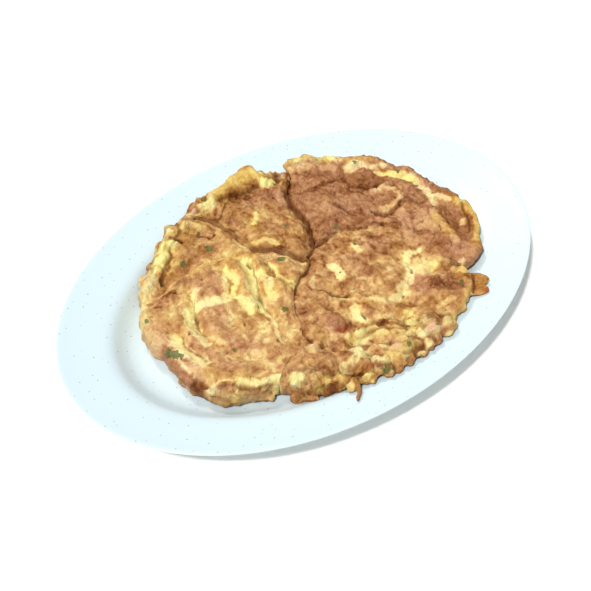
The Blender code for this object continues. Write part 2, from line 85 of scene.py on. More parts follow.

# Strokes of browning and the folds that go with them: (tone, rise, half width, points). The darkest strokes
# are holes and pockets, painted with their shade.
STROKES = {
    "egg_left": [
        (0.60, 0.3, 5.0, [(-89, 22), (-91, 13), (-96, 5)]),
        (0.60, 0.4, 4.2, [(-48, 29), (-52, 23), (-56, 19)]),
        (0.56, 0.4, 4.6, [(-68, 1), (-68, -10), (-66, -20)]),
        (0.70, 0.4, 2.2, [(-60, 0), (-59, -2)]),
        (0.62, 0.5, 2.2, [(-34, 28), (-36, 20), (-41, 13)]),
        (0.58, 0.4, 2.4, [(-48, 22), (-54, 19)]),
        (0.70, 0.5, 2.2, [(-52, -6), (-51, -8)]),
        (0.70, 0.5, 2.4, [(-45, -11), (-44, -16)]),
        (0.60, 0.3, 3.4, [(-62, -26), (-58, -33), (-51, -40), (-44, -41)]),
        (0.60, 0.5, 1.8, [(-84, -10), (-82, -19), (-79, -29), (-74, -38)]),
        (0.62, 0.3, 2.2, [(-95, -24), (-84, -31), (-77, -37)]),
        # Painted shade in the sunk band behind the raised disc.
        (0.74, -0.9, 2.8, [(-77, 37), (-70, 41), (-61, 44), (-51, 46), (-40, 47), (-30, 46)]),
        (0.40, 0.5, 1.8, [(-79, 34), (-64, 38), (-52, 37), (-42, 36), (-32, 36)]),
        (0.66, 0.6, 4.4, [(-38, 62), (-43, 57)]),
        (0.52, 0.6, 4.0, [(-27, 46), (-23, 40)]),
        (0.64, 0.3, 2.6, [(-50, 50), (-42, 51), (-34, 50)]),
        (0.95, -1.2, 1.1, [(-49, 66), (-46, 64), (-44, 61)]),
        (0.92, -1.0, 1.1, [(-34, 58), (-29, 55), (-25, 55)]),
        (0.88, -0.7, 1.1, [(-54, 58), (-62, 50), (-70, 44)]),
        (0.90, -0.5, 1.4, [(-77, 33), (-70, 31)]),
        (0.26, 0.4, 1.8, [(-35, 72), (-31, 70), (-27, 64)]),
        (0.50, 0.7, 2.4, [(-19, 20), (-20, 10), (-20, 0), (-21, -9), (-24, -17)]),
        (0.44, 0.6, 1.8, [(-31, 26), (-32, 18), (-38, 9), (-42, 4)]),
        (0.00, -1.2, 3.6, [(-25, 27), (-27, 16), (-33, 8), (-38, -1), (-40, -9)]),
        (0.02, -1.0, 2.6, [(-38, 26), (-37, 18), (-43, 12), (-47, 9), (-45, 3), (-46, -8)]),
        (0.06, -0.6, 3.2, [(-24, 13), (-26, 2), (-30, -7)]),
        (0.12, 0.2, 1.6, [(-15, 14), (-17, 6), (-16, 0), (-15, -8)]),
        (0.20, -0.4, 1.6, [(-39, -10), (-41, -21), (-46, -33)]),
        (0.00, -0.7, 3.6, [(-67, 14), (-59, 12), (-53, 8)]),
        (0.08, -0.4, 1.8, [(-41, 24), (-46, 16), (-52, 10)]),
        (0.02, -0.9, 2.6, [(-61, 25), (-67, 18), (-74, 14), (-78, 6), (-79, -3), (-79, -12)]),
        (0.00, -0.8, 3.6, [(-74, 12), (-78, 5), (-78, 0)]),
        (0.18, -0.2, 2.0, [(-92, -35), (-86, -37), (-81, -42)]),
        (0.04, -0.3, 2.2, [(-80, -43), (-75, -47), (-69, -50), (-61, -52)]),
        (0.52, 0.1, 2.0, [(-97, -38), (-90, -45), (-80, -51), (-70, -55)]),
        (0.22, 0.0, 2.6, [(-63, -32), (-59, -35)]),
        (0.36, 0.2, 5.0, [(-95, 22), (-98, 8), (-98, -4), (-98, -16), (-95, -27)]),
        (0.90, -1.8, 1.8, [(-98, -27), (-96, -31)]),
        (0.06, 0.0, 3.4, [(-90, 5), (-91, -4), (-91, -12), (-88, -20)]),
        (0.22, 0.3, 4.2, [(-50, 63), (-60, 58), (-72, 50), (-84, 42), (-91, 34), (-96, 25)]),
        (0.40, 0.1, 3.4, [(-99, 18), (-100, 6)]),
        (0.10, 0.3, 1.5, [(-66, 55), (-75, 48), (-83, 43)]),
        (0.12, 0.5, 2.6, [(-43, 77), (-47, 71)]),
        # Painted shade along the lower left edge.
        (0.78, -0.2, 2.8, [(-99, 2), (-101, -8), (-100, -18), (-97, -30)]),
        (0.34, 0.0, 2.4, [(-8, 4), (-4, 0)]),
    ],
    "egg_top": [
        (0.48, 0.3, 5.4, [(10, 54), (4, 49)]),
        (0.26, 0.3, 2.2, [(4, 52), (-2, 47)]),
        (0.30, 0.5, 2.2, [(-11, 34), (-6, 31), (-2, 26)]),
        (0.60, 0.6, 4.2, [(6, 22), (5, 14), (4, 9)]),
        (0.80, -0.3, 2.4, [(10, 30), (12, 32)]),
        (0.80, -0.3, 2.6, [(14, 41), (16, 38)]),
        (0.76, -0.3, 2.2, [(-1, 39), (2, 40)]),
        (0.80, -0.7, 4.0, [(3, 73), (13, 70), (22, 63)]),
        (0.50, 0.3, 3.2, [(27, 57), (24, 50)]),
        (0.70, 0.3, 3.4, [(-4, 67), (-14, 61), (-21, 60)]),
        (0.84, -0.8, 1.2, [(-9, 74), (-14, 68), (-22, 67)]),
        (0.34, 1.6, 5.0, [(-4, 80), (4, 82), (14, 81), (22, 79)]),
        (0.18, 0.6, 1.6, [(2, 86), (10, 88), (19, 89), (24, 88)]),
        (0.10, 0.7, 2.6, [(24, 71), (29, 68)]),
        (0.98, -2.2, 2.6, [(33, 69), (36, 71)]),
        (0.14, 0.3, 3.0, [(-12, 77), (-17, 76)]),
        (0.90, -1.0, 1.4, [(-24, 63), (-20, 56), (-19, 49)]),
        (0.42, 0.1, 2.6, [(-20, 74), (-10, 73)]),
    ],
    "egg_right": [
        (0.62, 0.4, 5.0, [(40, 30), (52, 22)]),
        (0.30, 0.4, 3.4, [(52, 74), (61, 69), (68, 64), (75, 57)]),
        (0.46, 0.0, 2.8, [(49, 69), (58, 63), (67, 55)]),
        (0.84, -1.4, 3.4, [(50, 60), (57, 56), (62, 50), (66, 45)]),
        (0.68, 1.8, 7.5, [(38, 40), (43, 30), (46, 22)]),
        (0.74, 1.6, 6.0, [(58, 45), (56, 53)]),
        (0.76, 1.4, 5.0, [(76, 38), (82, 34)]),
        (0.90, -1.3, 1.6, [(36, 52), (44, 46), (56, 46), (64, 46)]),
        (0.86, -1.0, 1.5, [(62, 33), (66, 27), (72, 30)]),
        (0.84, -0.9, 1.5, [(45, 27), (50, 17), (56, 12)]),
        (0.72, 1.2, 5.0, [(90, 14), (90, 4), (86, -8)]),
        (0.68, 0.9, 4.5, [(60, 24), (70, -2), (78, 2)]),
        (0.60, 0.4, 1.5, [(78, 54), (85, 50), (91, 45), (93, 39)]),
        # A pale band on the lobe's top: painted highlight.
        (0.16, 0.2, 3.0, [(74, 48), (80, 46), (84, 43), (88, 39)]),
        (0.82, 0.2, 3.2, [(71, 42), (75, 37), (80, 32), (83, 27)]),
        (0.08, -0.3, 3.0, [(87, 33), (94, 27), (101, 20)]),
        (0.72, 0.5, 4.4, [(91, 18), (89, 10), (90, 2)]),
        (0.36, 0.8, 2.1, [(72, 22), (80, 20), (84, 13), (82, 8), (74, 6), (67, 8)]),
        (0.68, -0.4, 2.8, [(71, 17), (75, 13)]),
        (0.86, -0.9, 1.2, [(82, 4), (74, 3), (66, 4), (61, 9)]),
        (0.16, -0.2, 3.0, [(102, 19), (100, 7), (98, 0), (95, -8)]),
        (0.20, 0.1, 2.2, [(98, -2), (101, -6), (105, -11)]),
        (0.84, -0.6, 3.6, [(96, -13), (96, -22), (92, -31), (88, -38)]),
        (0.24, 0.0, 1.4, [(100, -27), (98, -31)]),
        (0.42, 0.4, 2.4, [(108, -15), (107, -26), (104, -35), (98, -43), (91, -48)]),
        (0.66, 0.3, 5.0, [(78, -44), (83, -51), (75, -54)]),
        (0.98, -1.6, 1.8, [(54, 1), (60, -2)]),
        (0.84, -0.4, 2.0, [(74, -35), (73, -43)]),
        (0.50, 0.7, 2.4, [(88, -14), (86, -25), (84, -34), (81, -42)]),
        (0.48, 0.3, 4.4, [(76, -16), (80, -23), (81, -11)]),
        (0.60, 0.3, 3.4, [(60, -13), (65, -21)]),
        (0.54, 0.3, 3.8, [(74, 0), (70, -9), (65, -16)]),
    ],
    "egg_bottom": [
        (0.76, 0.3, 4.4, [(24, -25), (28, -29)]),
        (0.75, 0.2, 6.5, [(44, -50), (49, -56), (51, -64)]),
        (0.76, 0.0, 4.0, [(61, -55), (60, -62), (57, -68)]),
        (0.86, 0.0, 4.6, [(49, -58), (56, -67)]),
        (0.82, 0.1, 4.2, [(48, -58), (53, -64)]),
        (0.66, -0.3, 3.0, [(57, -65), (52, -72)]),
        (0.88, -0.7, 2.4, [(21, -56), (25, -57), (29, -60)]),
        (0.64, 0.3, 3.0, [(13, -58), (17, -60)]),
        (0.74, 0.9, 5.0, [(-13, -41), (-15, -45)]),
        (0.86, 0.1, 2.2, [(-17, -48), (-13, -50), (-9, -49)]),
        (0.68, 0.3, 2.8, [(-46, -42), (-42, -45)]),
        (0.08, -0.3, 2.1, [(50, -30), (55, -31), (61, -31)]),
        (0.20, -0.4, 4.6, [(53, -39), (57, -42), (59, -44)]),
        (0.24, -0.4, 3.2, [(49, -42), (54, -46)]),
        (0.14, -0.6, 3.0, [(48, -33), (45, -40), (38, -45), (31, -46), (32, -51), (23, -50)]),
        (0.34, 0.3, 1.6, [(50, -38), (54, -36), (57, -38)]),
        (0.30, 0.1, 2.0, [(36, -71), (40, -72), (46, -74)]),
        (0.44, 0.6, 2.6, [(56, -74), (52, -79), (47, -82), (40, -85), (35, -85)]),
        (0.24, -0.2, 2.3, [(11, -7), (11, -14), (10, -19)]),
        (0.28, 0.0, 1.4, [(16, -22), (16, -27), (19, -29)]),
        (0.28, 0.0, 1.4, [(-3, -9), (-8, -15)]),
        (0.18, -0.3, 1.7, [(-4, -27), (2, -33)]),
        (0.34, 0.0, 2.0, [(-5, -33), (-6, -34)]),
        (0.22, 0.0, 1.8, [(32, -4), (31, -10)]),
        (0.08, -0.2, 2.9, [(12, -9), (12, -15), (10, -20)]),
        (0.10, -0.3, 2.6, [(1, -42), (-2, -49), (0, -52)]),
        (0.22, -0.2, 2.4, [(11, -43), (16, -48)]),
        (0.26, -0.1, 2.4, [(6, -55), (12, -57)]),
        (0.22, 0.5, 1.5, [(-11, -56), (-6, -58), (0, -60)]),
        (0.22, 0.5, 1.5, [(-12, -61), (-5, -63), (1, -64)]),
        (0.32, 0.5, 1.5, [(-3, -66), (4, -68), (10, -72), (12, -77)]),
        (0.36, 0.4, 1.6, [(16, -65), (20, -70), (22, -76)]),
        (0.05, 0.2, 1.5, [(-7, -73), (-5, -75)]),
        (0.98, -2.4, 2.2, [(4, -87), (9, -87)]),
        (0.98, -2.4, 1.7, [(-31, -77), (-27, -79)]),
        (0.92, -1.8, 1.8, [(-48, -73), (-42, -75)]),
        (0.86, -0.8, 1.4, [(-20, -59), (-12, -66), (-11, -73)]),
        (0.84, -0.9, 1.3, [(2, -60), (9, -64), (14, -69), (17, -75)]),
        (0.86, -0.8, 1.2, [(-44, -57), (-41, -66), (-36, -73)]),
        (0.86, -1.0, 1.1, [(-32, -35), (-33, -41), (-33, -47), (-30, -51)]),
        (0.72, 0.2, 2.8, [(-61, -63), (-58, -70)]),
        (0.74, 0.1, 2.8, [(-14, -90), (-6, -90), (0, -90)]),
        (0.76, 0.0, 3.0, [(15, -89), (23, -90)]),
        (0.82, 0.0, 4.6, [(67, -66), (69, -72), (68, -75)]),
        (0.56, 0.0, 2.4, [(62, -75), (65, -79)]),
        (0.16, 0.0, 1.7, [(73, -60), (75, -67), (74, -74)]),
        (0.80, -0.5, 1.3, [(67, -63), (65, -69), (63, -75)]),
        (0.74, 0.0, 2.2, [(68, -68), (66, -75)]),
        (0.14, 0.0, 1.6, [(75, -72), (74, -75)]),
        (0.76, 0.0, 2.4, [(-33, -82), (-40, -91)]),
        (0.78, 0.0, 3.8, [(62, -51), (67, -58)]),
        (0.70, 0.0, 3.2, [(45, -68), (51, -74)]),
        (0.66, 0.0, 2.8, [(22, -57), (21, -62)]),
        (0.68, 0.0, 3.8, [(-36, -28), (-25, -37), (-18, -42)]),
        # Painted shade on the front edge's wall.
        (0.80, -0.2, 2.8, [(-25, -86), (-15, -85), (-6, -86)]),
        (0.66, 0.0, 3.2, [(-56, -52), (-63, -60)]),
        (0.42, 0.2, 2.8, [(-45, -60), (-48, -66), (-51, -71)]),
        (0.52, 0.0, 3.6, [(-2, -24), (-8, -31)]),
        (0.32, 0.2, 2.4, [(22, -80), (20, -86)]),
    ],
}

# Edges where one layer of egg lies over another, raised on the left of the way along: (rise, points).
LIPS = {
    "egg_left": [
        (1.7, [(-27, 33), (-33, 37), (-40, 37), (-46, 36), (-52, 37), (-59, 37), (-66, 38), (-73, 37)]),
        (1.3, [(-62, 26), (-68, 28), (-74, 31), (-79, 33), (-84, 36)]),
        (1.5, [(-17, 19), (-16, 15), (-18, 7), (-16, 1), (-15, -4), (-14, -9)]),
        (1.1, [(-23, 24), (-24, 16), (-30, 7), (-35, -2), (-37, -9), (-38, -15), (-41, -20)]),
        (1.2, [(-62, 22), (-69, 14), (-72, 8), (-75, 1), (-76, -7)]),
        (0.9, [(-50, 3), (-55, 5), (-62, 8), (-68, 11)]),
        (0.9, [(-86, 5), (-88, -5), (-87, -12), (-85, -22)]),
        (1.0, [(-93, -38), (-86, -41), (-79, -47), (-72, -51), (-65, -53)]),
        (1.0, [(-73, 42), (-65, 50), (-57, 56), (-50, 62), (-44, 66), (-39, 71)]),
        (1.0, [(-28, 50), (-33, 57), (-36, 63), (-41, 67)]),
    ],
    "egg_top": [
        (1.9, [(-8, 76), (0, 75), (8, 74), (17, 73), (22, 72), (25, 76)]),
        (1.1, [(6, 29), (2, 22), (-3, 15)]),
        (0.8, [(-23, 62), (-14, 64), (-6, 70), (0, 71)]),
    ],
    "egg_right": [
        (2.2, [(71, 49), (68, 44), (67, 39), (69, 34), (75, 28), (83, 22)]),
        (1.7, [(62, 30), (60, 36), (54, 43), (47, 48), (37, 50), (32, 55), (38, 62)]),
        (1.3, [(60, 10), (66, 5), (73, 3), (81, 5)]),
        (1.4, [(89, 23), (86, 15), (85, 6), (86, -1), (93, -6)]),
        (0.9, [(45, 30), (48, 20), (51, 12)]),
        (1.0, [(67, 5), (68, -4), (66, -13)]),
        (1.1, [(108, -18), (103, -28), (97, -37), (91, -42)]),
    ],
    "egg_bottom": [
        (1.1, [(-2, -25), (-7, -19), (-11, -15), (-10, -9)]),
        (1.0, [(-5, -21), (-1, -26), (3, -31), (9, -31)]),
        (0.8, [(-32, -34), (-33, -41), (-33, -47), (-30, -51)]),
        (1.0, [(18, -32), (15, -27), (16, -22), (15, -19)]),
        (1.4, [(22, -67), (25, -72), (28, -77), (31, -82), (35, -85)]),
        (1.3, [(17, -65), (9, -61), (2, -57), (-6, -55), (-14, -55)]),
        (1.1, [(-15, -56), (-22, -54), (-30, -52), (-36, -50), (-40, -45)]),
    ],
}

# Tints: 0 is golden yellow, 1 is rosy. What each piece has where nothing else is said, and strokes of other
# tints: (tint, half width, points).
PLAIN_TINT = {"egg_top": 0.46, "egg_right": 0.80, "egg_left": 0.48, "egg_bottom": 0.54}
TINTS = {
    "egg_left": [
        (0.32, 3.6, [(-25, 27), (-27, 16), (-33, 8), (-38, -1), (-40, -9)]),
        (0.25, 3.0, [(-38, 26), (-37, 18), (-43, 12), (-47, 9), (-45, 3), (-46, -8)]),
        (0.40, 3.6, [(-67, 14), (-59, 12), (-53, 8)]),
        (0.40, 3.0, [(-61, 25), (-67, 18), (-74, 14), (-78, 6), (-79, -3), (-79, -12)]),
        (0.18, 6.0, [(-42, 64), (-54, 60), (-66, 52)]), (0.55, 5.0, [(-78, 44), (-90, 31), (-96, 18)]),
        (0.85, 6.0, [(-98, 16), (-99, -4), (-97, -20)]),
        (0.50, 4.5, [(-95, -34), (-84, -40), (-71, -51), (-62, -54)]),
        (0.68, 7.0, [(-54, 24), (-64, 4), (-66, -14), (-56, -34)]),
        (0.68, 4.0, [(-84, -6), (-80, -26), (-72, -38)]),
        (0.25, 4.0, [(-40, 74), (-38, 62)]),
        (0.20, 3.0, [(-52, 36), (-38, 36), (-26, 33), (-19, 26)]),
        (0.22, 5.5, [(-34, 30), (-29, 24), (-24, 15), (-18, 8), (-18, -3)]),
        (0.25, 4.0, [(-28, -5), (-36, 8)]),
    ],
    "egg_top": [
        (0.00, 6.0, [(-4, 80), (4, 82), (14, 81), (24, 80)]), (0.05, 3.0, [(24, 70), (30, 69)]),
        (0.10, 4.0, [(4, 52), (-2, 46)]), (0.15, 4.0, [(-12, 34), (-6, 31), (-1, 26)]),
        (0.85, 6.0, [(10, 66), (22, 60), (26, 50)]), (0.20, 3.0, [(-14, 77), (-24, 74)]),
    ],
    "egg_right": [
        (0.10, 3.2, [(109, -14), (107, -26), (104, -36), (97, -44), (88, -50)]),
        (0.20, 3.4, [(48, 77), (54, 74), (61, 70), (70, 62)]), (0.15, 3.0, [(88, 32), (95, 26), (101, 18)]),
        (0.20, 3.0, [(79, 54), (88, 50), (94, 42)]), (0.80, 9.0, [(42, 44), (50, 28), (58, 20)]),
        (0.80, 6.0, [(72, 42), (80, 30)]), (0.30, 4.0, [(88, -20), (84, -34)]),
    ],
    "egg_bottom": [
        (0.05, 5.0, [(66, -62), (70, -70), (68, -77)]), (0.15, 3.6, [(56, -74), (50, -80), (38, -85)]),
        (0.30, 4.0, [(54, -40), (60, -46)]), (0.85, 6.5, [(42, -50), (50, -58), (54, -64)]),
        (0.68, 7.0, [(22, -22), (34, -16), (46, -12)]), (0.15, 5.0, [(20, -62), (18, -72)]),
        (0.20, 6.0, [(-12, -56), (2, -62), (12, -72)]), (0.15, 5.0, [(-26, -82), (-38, -76), (-46, -72)]),
        (0.80, 5.0, [(-16, -44), (-12, -49)]), (0.20, 5.0, [(-6, -82), (4, -82)]),
    ],
}

# Narrow slits right down into the egg: points.
SLITS = {
    "egg_left": [
        [(-69, 14), (-72, 9), (-75, 2)], [(-54, -13), (-56, -15)], [(-83, 1), (-83, -2)],
        [(-24, 26), (-24, 21)], [(-33, 3), (-36, -3), (-37, -9)], [(-48, -33), (-47, -35)],
    ],
    "egg_top": [[(-31, 65), (-29, 60), (-23, 58)]],
    "egg_right": [],
    "egg_bottom": [
        [(41, -17), (43, -23)], [(-4, -22), (-1, -26), (3, -31), (9, -31)], [(-6, -46), (-9, -50)],
        [(27, -52), (32, -51)], [(48, -37), (45, -42)],
    ],
}

# Seams where two pieces have grown apart: (how open, half width, the piece that stands higher, points).
CREASES = [
    (0.95, 1.3, "egg_right", [(14, 10), (20, 19), (24, 30), (27, 44), (31, 55), (39, 63), (44, 72)]),
    (0.80, 1.1, "egg_top", [(5, 5), (-1, 13), (-7, 24), (-16, 35)]),
    (0.65, 0.9, "egg_top", [(-16, 40), (-17, 52), (-19, 62), (-28, 76)]),
    (0.60, 0.9, "egg_bottom", [(5, 5), (9, 7), (14, 10)]),
    (0.60, 1.1, "egg_bottom", [(14, 10), (27, 10), (34, 10)]),
    (0.35, 1.2, "egg_right", [(44, 5), (52, 3)]),
    (0.65, 1.1, "egg_left", [(5, 5), (-3, -3), (-13, -7), (-20, -13)]),
    (0.50, 0.9, "egg_left", [(-24, -18), (-29, -27)]),
    (0.45, 1.0, "egg_left", [(-63, -54), (-65, -57)]),
    (0.60, 1.3, "egg_right", [(69, -48), (72, -55)]),
]

# Stretches that are torn and scrambled: (how much, reach, points).
SCRAMBLED = {
    "egg_left": [
        (0.9, 9.0, [(-42, 75), (-54, 69), (-66, 61), (-78, 53)]),
        (0.4, 7.0, [(-84, 47), (-94, 34), (-99, 20)]),
        (0.7, 7.0, [(-99, -29), (-94, -40), (-84, -49), (-70, -55)]),
        (0.4, 9.0, [(-33, 64), (-42, 55)]),
    ],
    "egg_top": [
        (0.9, 8.0, [(-28, 76), (-20, 78), (-12, 79)]),
        (0.8, 5.0, [(26, 73), (30, 69), (37, 70)]),
        (0.3, 16.0, [(8, 44), (4, 52)]),
    ],
    "egg_right": [
        (0.6, 7.0, [(46, 74), (58, 72), (68, 66)]),
        (0.3, 6.0, [(84, 50), (92, 44), (100, 28), (104, 12)]),
    ],
    "egg_bottom": [
        (1.0, 12.0, [(-60, -58), (-52, -62), (-42, -68), (-34, -76)]),
        (1.0, 14.0, [(-34, -78), (-20, -78), (-6, -80), (8, -82), (20, -80), (26, -80)]),
        (0.7, 9.0, [(-20, -62), (-6, -60), (8, -62), (18, -68)]),
        (0.4, 7.0, [(-36, -46), (-24, -54)]),
    ],
}

# A stretch whose folds and streaks run one way: its middle, which way in degrees, how far it reaches.
STREAKED = ((-50.0, 2.0), 250.0, 34.0)

# Stretches that are smooth: (how much, reach, points).
SMOOTH = {
    "egg_left": [],
    "egg_top": [(0.8, 7.0, [(-2, 82), (8, 83), (18, 83), (24, 80)])],
    "egg_right": [
        (0.8, 9.0, [(108, -10), (106, -30), (96, -46), (80, -56)]), (0.7, 4.0, [(44, 76), (46, 72)]),
    ],
    "egg_bottom": [
        (0.6, 9.0, [(55, -70), (50, -78), (40, -83)]), (0.8, 8.0, [(66, -62), (68, -70), (66, -78)]),
        (1.0, 4.0, [(-34, -84), (-40, -91)]), (0.6, 6.0, [(-6, -80), (0, -80)]),
    ],
}

# Scrambled crumbs along the torn edge: (how many, smallest and largest radius, points).
CRUMBS = {
    "egg_left": [
        (22, 1.8, 3.8, [(-42, 75), (-54, 69), (-66, 61), (-80, 51), (-90, 38)]),
        (12, 1.6, 3.2, [(-98, -27), (-93, -38), (-83, -46), (-70, -53)]),
    ],
    "egg_top": [
        (16, 1.6, 3.4, [(-27, 79), (-18, 82), (-8, 82)]),
        (12, 1.4, 2.6, [(27, 80), (30, 76), (38, 72)]),
    ],
    "egg_right": [
        (9, 2.0, 3.2, [(50, 73), (58, 71), (70, 63), (78, 55)]),
    ],
    "egg_bottom": [
        (16, 2.0, 4.2, [(-61, -58), (-55, -68), (-42, -73), (-37, -78)]),
        (24, 2.2, 4.8, [(-32, -80), (-20, -85), (0, -88), (20, -88), (34, -84)]),
    ],
}

# Single lumps of egg, laid in one by one: (x, y, half length, half width, turn in degrees, tone).
LUMPS = {
    "egg_left": [
        (-44, 76, 4.2, 2.2, 70, 0.20), (-50, 71, 3.4, 2.4, 30, 0.22), (-54, 66, 3.4, 2.6, 150, 0.56),
        (-57, 62, 4.2, 2.8, 40, 0.12), (-50, 62, 3.8, 2.6, 20, 0.14), (-62, 56, 4.2, 2.8, 50, 0.14),
        (-43, 70, 3.0, 2.2, 100, 0.66), (-35, 71, 4.2, 2.6, 15, 0.32), (-37, 76, 3.0, 2.2, 80, 0.38),
        (-68, 59, 4.4, 2.6, 130, 0.22), (-30, 63, 3.2, 2.2, 45, 0.42), (-39, 61, 4.6, 3.4, 130, 0.64),
        (-46, 55, 4.2, 3.2, 30, 0.62), (-83, 46, 3.6, 2.2, 135, 0.24), (-97, -17, 3.6, 1.5, 105, 0.14),
        (-76, 54, 4.0, 2.4, 120, 0.20),
    ],
    "egg_top": [
        (-26, 75, 3.4, 2.4, 40, 0.30), (-14, 76, 4.6, 3.2, 170, 0.10), (-20, 78, 3.4, 2.4, 100, 0.40),
        (-9, 80, 3.0, 2.2, 0, 0.30), (24, 72, 2.8, 2.0, 60, 0.10), (29, 69, 2.8, 2.2, 20, 0.12),
        (27, 77, 2.2, 1.6, 140, 0.22), (31, 75, 2.2, 1.8, 0, 0.24), (38, 71, 2.6, 2.0, 70, 0.56),
    ],
    "egg_right": [
        (47, 75, 3.6, 2.8, 60, 0.52), (45, 70, 3.4, 2.6, 100, 0.44), (54, 74, 4.4, 2.4, 160, 0.14),
        (62, 69, 4.2, 2.4, 150, 0.10), (51, 66, 3.6, 2.6, 30, 0.46), (42, 65, 4.0, 3.0, 110, 0.58),
        (71, 61, 3.6, 2.4, 130, 0.16), (79, 49, 4.6, 3.4, 150, 0.34), (94, 37, 3.0, 2.0, 120, 0.20),
        (89, 12, 5.0, 3.8, 110, 0.70), (58, 60, 3.6, 2.8, 60, 0.74), (74, 38, 4.4, 3.4, 120, 0.80),
        (83, -54, 6.0, 4.4, 25, 0.66), (73, -54, 2.8, 2.2, 60, 0.30),
    ],
    "egg_bottom": [
        (-56, -59, 5.2, 4.0, 30, 0.02), (-50, -65, 4.6, 3.6, 120, 0.50), (-58, -56, 2.8, 2.0, 80, 0.40),
        (-19, -68, 4.0, 3.4, 60, 0.03), (-4, -80, 7.0, 4.2, 8, 0.36), (15, -81, 4.0, 3.0, 60, 0.06),
        (13, -87, 3.4, 2.6, 130, 0.08), (23, -82, 4.4, 3.0, 150, 0.22), (31, -84, 3.6, 2.6, 20, 0.16),
        (28, -88, 3.0, 2.2, 160, 0.14), (19, -68, 3.4, 2.6, 40, 0.20), (22, -63, 2.8, 2.2, 100, 0.24),
        (16, -73, 3.0, 2.4, 150, 0.26), (24, -73, 3.0, 2.2, 80, 0.22), (7, -75, 4.2, 2.8, 140, 0.34),
        (-12, -70, 3.8, 2.6, 20, 0.34), (-25, -70, 3.8, 3.0, 140, 0.14), (-31, -69, 3.0, 2.4, 60, 0.18),
        (-36, -64, 4.4, 3.4, 100, 0.58), (-35, -49, 4.2, 3.0, 40, 0.30), (-43, -56, 3.4, 2.6, 150, 0.40),
        (-35, -81, 5.0, 3.0, 20, 0.20), (-28, -83, 2.8, 2.0, 70, 0.20), (-25, -86, 2.6, 2.0, 10, 0.24),
        (-20, -80, 3.4, 2.2, 10, 0.50), (-10, -88, 4.0, 3.0, 170, 0.72), (-2, -89, 3.4, 2.6, 20, 0.66),
        (-44, -70, 3.6, 2.6, 60, 0.24), (-38, -73, 3.0, 2.4, 120, 0.30), (-54, -71, 3.4, 2.4, 110, 0.60),
        (-60, -64, 3.4, 2.6, 110, 0.66), (-46, -74, 2.6, 2.0, 20, 0.44), (4, -83, 3.0, 2.4, 80, 0.48),
        (8, -90, 3.0, 2.2, 0, 0.60), (20, -88, 3.4, 2.6, 30, 0.66), (47, -79, 3.8, 2.8, 140, 0.46),
        (69, -59, 3.4, 2.6, 60, 0.26), (65, -56, 3.0, 2.4, 140, 0.34),
    ],
}
# A thin strand that hangs over the plate: its ends, (x, y, radius, height over the plate).
STRAND = [(-33.0, -81.5, 1.7, 2.6), (-39.5, -90.5, 1.1, 0.0)]
# A thin flap at the edge: the middle of its base, which way it points in degrees, where its sides are, its
# thickness, how far it curls up at its tip and on its far side, and where its edge is notched or pushed out:
# (along the base, reach, how far).
FLAP_BASE = (66.5, -66.5)
FLAP_TURN = -45.0
FLAP_SIDES = (11.0, 14.0)
FLAP_THICKNESS = 1.9
FLAP_TIP_CURL, FLAP_SIDE_CURL = 0.8, 4.2
FLAP_EDGE = [(-4.6, 1.4, -2.2), (0.5, 2.2, 1.8), (-9.6, 2.2, 1.8), (4.6, 2.2, 3.0)]

# Spring onion, red bits and pink bits that show: (x, y, radius).
GREENS = {
    "egg_left": [
        (-96, 23, 1.7), (-99, -2, 3.2), (-96, -6, 3.0), (-95, -10, 1.8), (-69, -25, 1.3), (-48, -34, 1.2),
        (-31, -20, 2.0), (-34, 48, 1.8), (-53, 47, 2.0), (-70, 44, 2.2), (-33, 61, 1.4), (-40, -7, 1.3),
        (-74, 5, 1.3), (-8, 12, 2.4), (-24, 6, 0.9), (-102, 12, 1.4),
    ],
    "egg_top": [(3, 68, 1.3), (-28, 71, 2.0), (-14, 81, 2.0), (12, 33, 1.5), (30, 66, 1.2)],
    "egg_right": [(34, 13, 1.4), (79, 48, 1.8), (99, 10, 1.8), (98, 27, 1.2), (60, 10, 1.0)],
    "egg_bottom": [
        (-18, -86, 2.8), (-13, -88, 2.0), (60, -66, 1.8), (1, -50, 1.5), (33, -5, 1.7), (-48, -76, 1.3),
        (4, -82, 1.8), (6, -32, 1.0), (-58, -67, 1.2), (12, -16, 0.8), (-40, -34, 1.2), (15, -70, 1.2),
    ],
}
REDS = {
    "egg_left": [(-95, -13, 1.6), (-79, 31, 1.0)],
    "egg_top": [(14, 34, 1.0)],
    "egg_right": [(88, 27, 1.2), (47, 2, 1.0)],
    "egg_bottom": [
        (-17, -49, 1.6), (-13, -50, 1.6), (6, -43, 1.1), (-21, -80, 2.0), (-17, -81, 2.0), (66, -79, 2.2),
        (-55, -75, 1.3), (20, -66, 1.2), (-46, -79, 1.0),
    ],
}
PINKS = {
    "egg_left": [(-72, -6, 1.2)],
    "egg_top": [(-25, 76, 2.6), (-9, 80, 1.8)],
    "egg_right": [(59, 67, 1.4), (84, 22, 1.2)],
    "egg_bottom": [(22, -81, 3.0), (26, -84, 2.4), (-3, -78, 2.6), (-52, -74, 1.6), (-35, -50, 1.8)],
}


# ---------------------------------------------------------------- patterns

chance = np.random.default_rng(7)
SHUFFLE = chance.permutation(256)
DIRECTIONS = chance.normal(size=(256, 3))
DIRECTIONS /= np.linalg.norm(DIRECTIONS, axis=1)[:, None]
PLACES = chance.random((256, 3))


def shuffled(*numbers):
    """A number from 0 to 255 for each cell."""
    mixed = np.zeros_like(numbers[0])
    for n in numbers:
        mixed = SHUFFLE[(mixed + n) & 255]
    return mixed


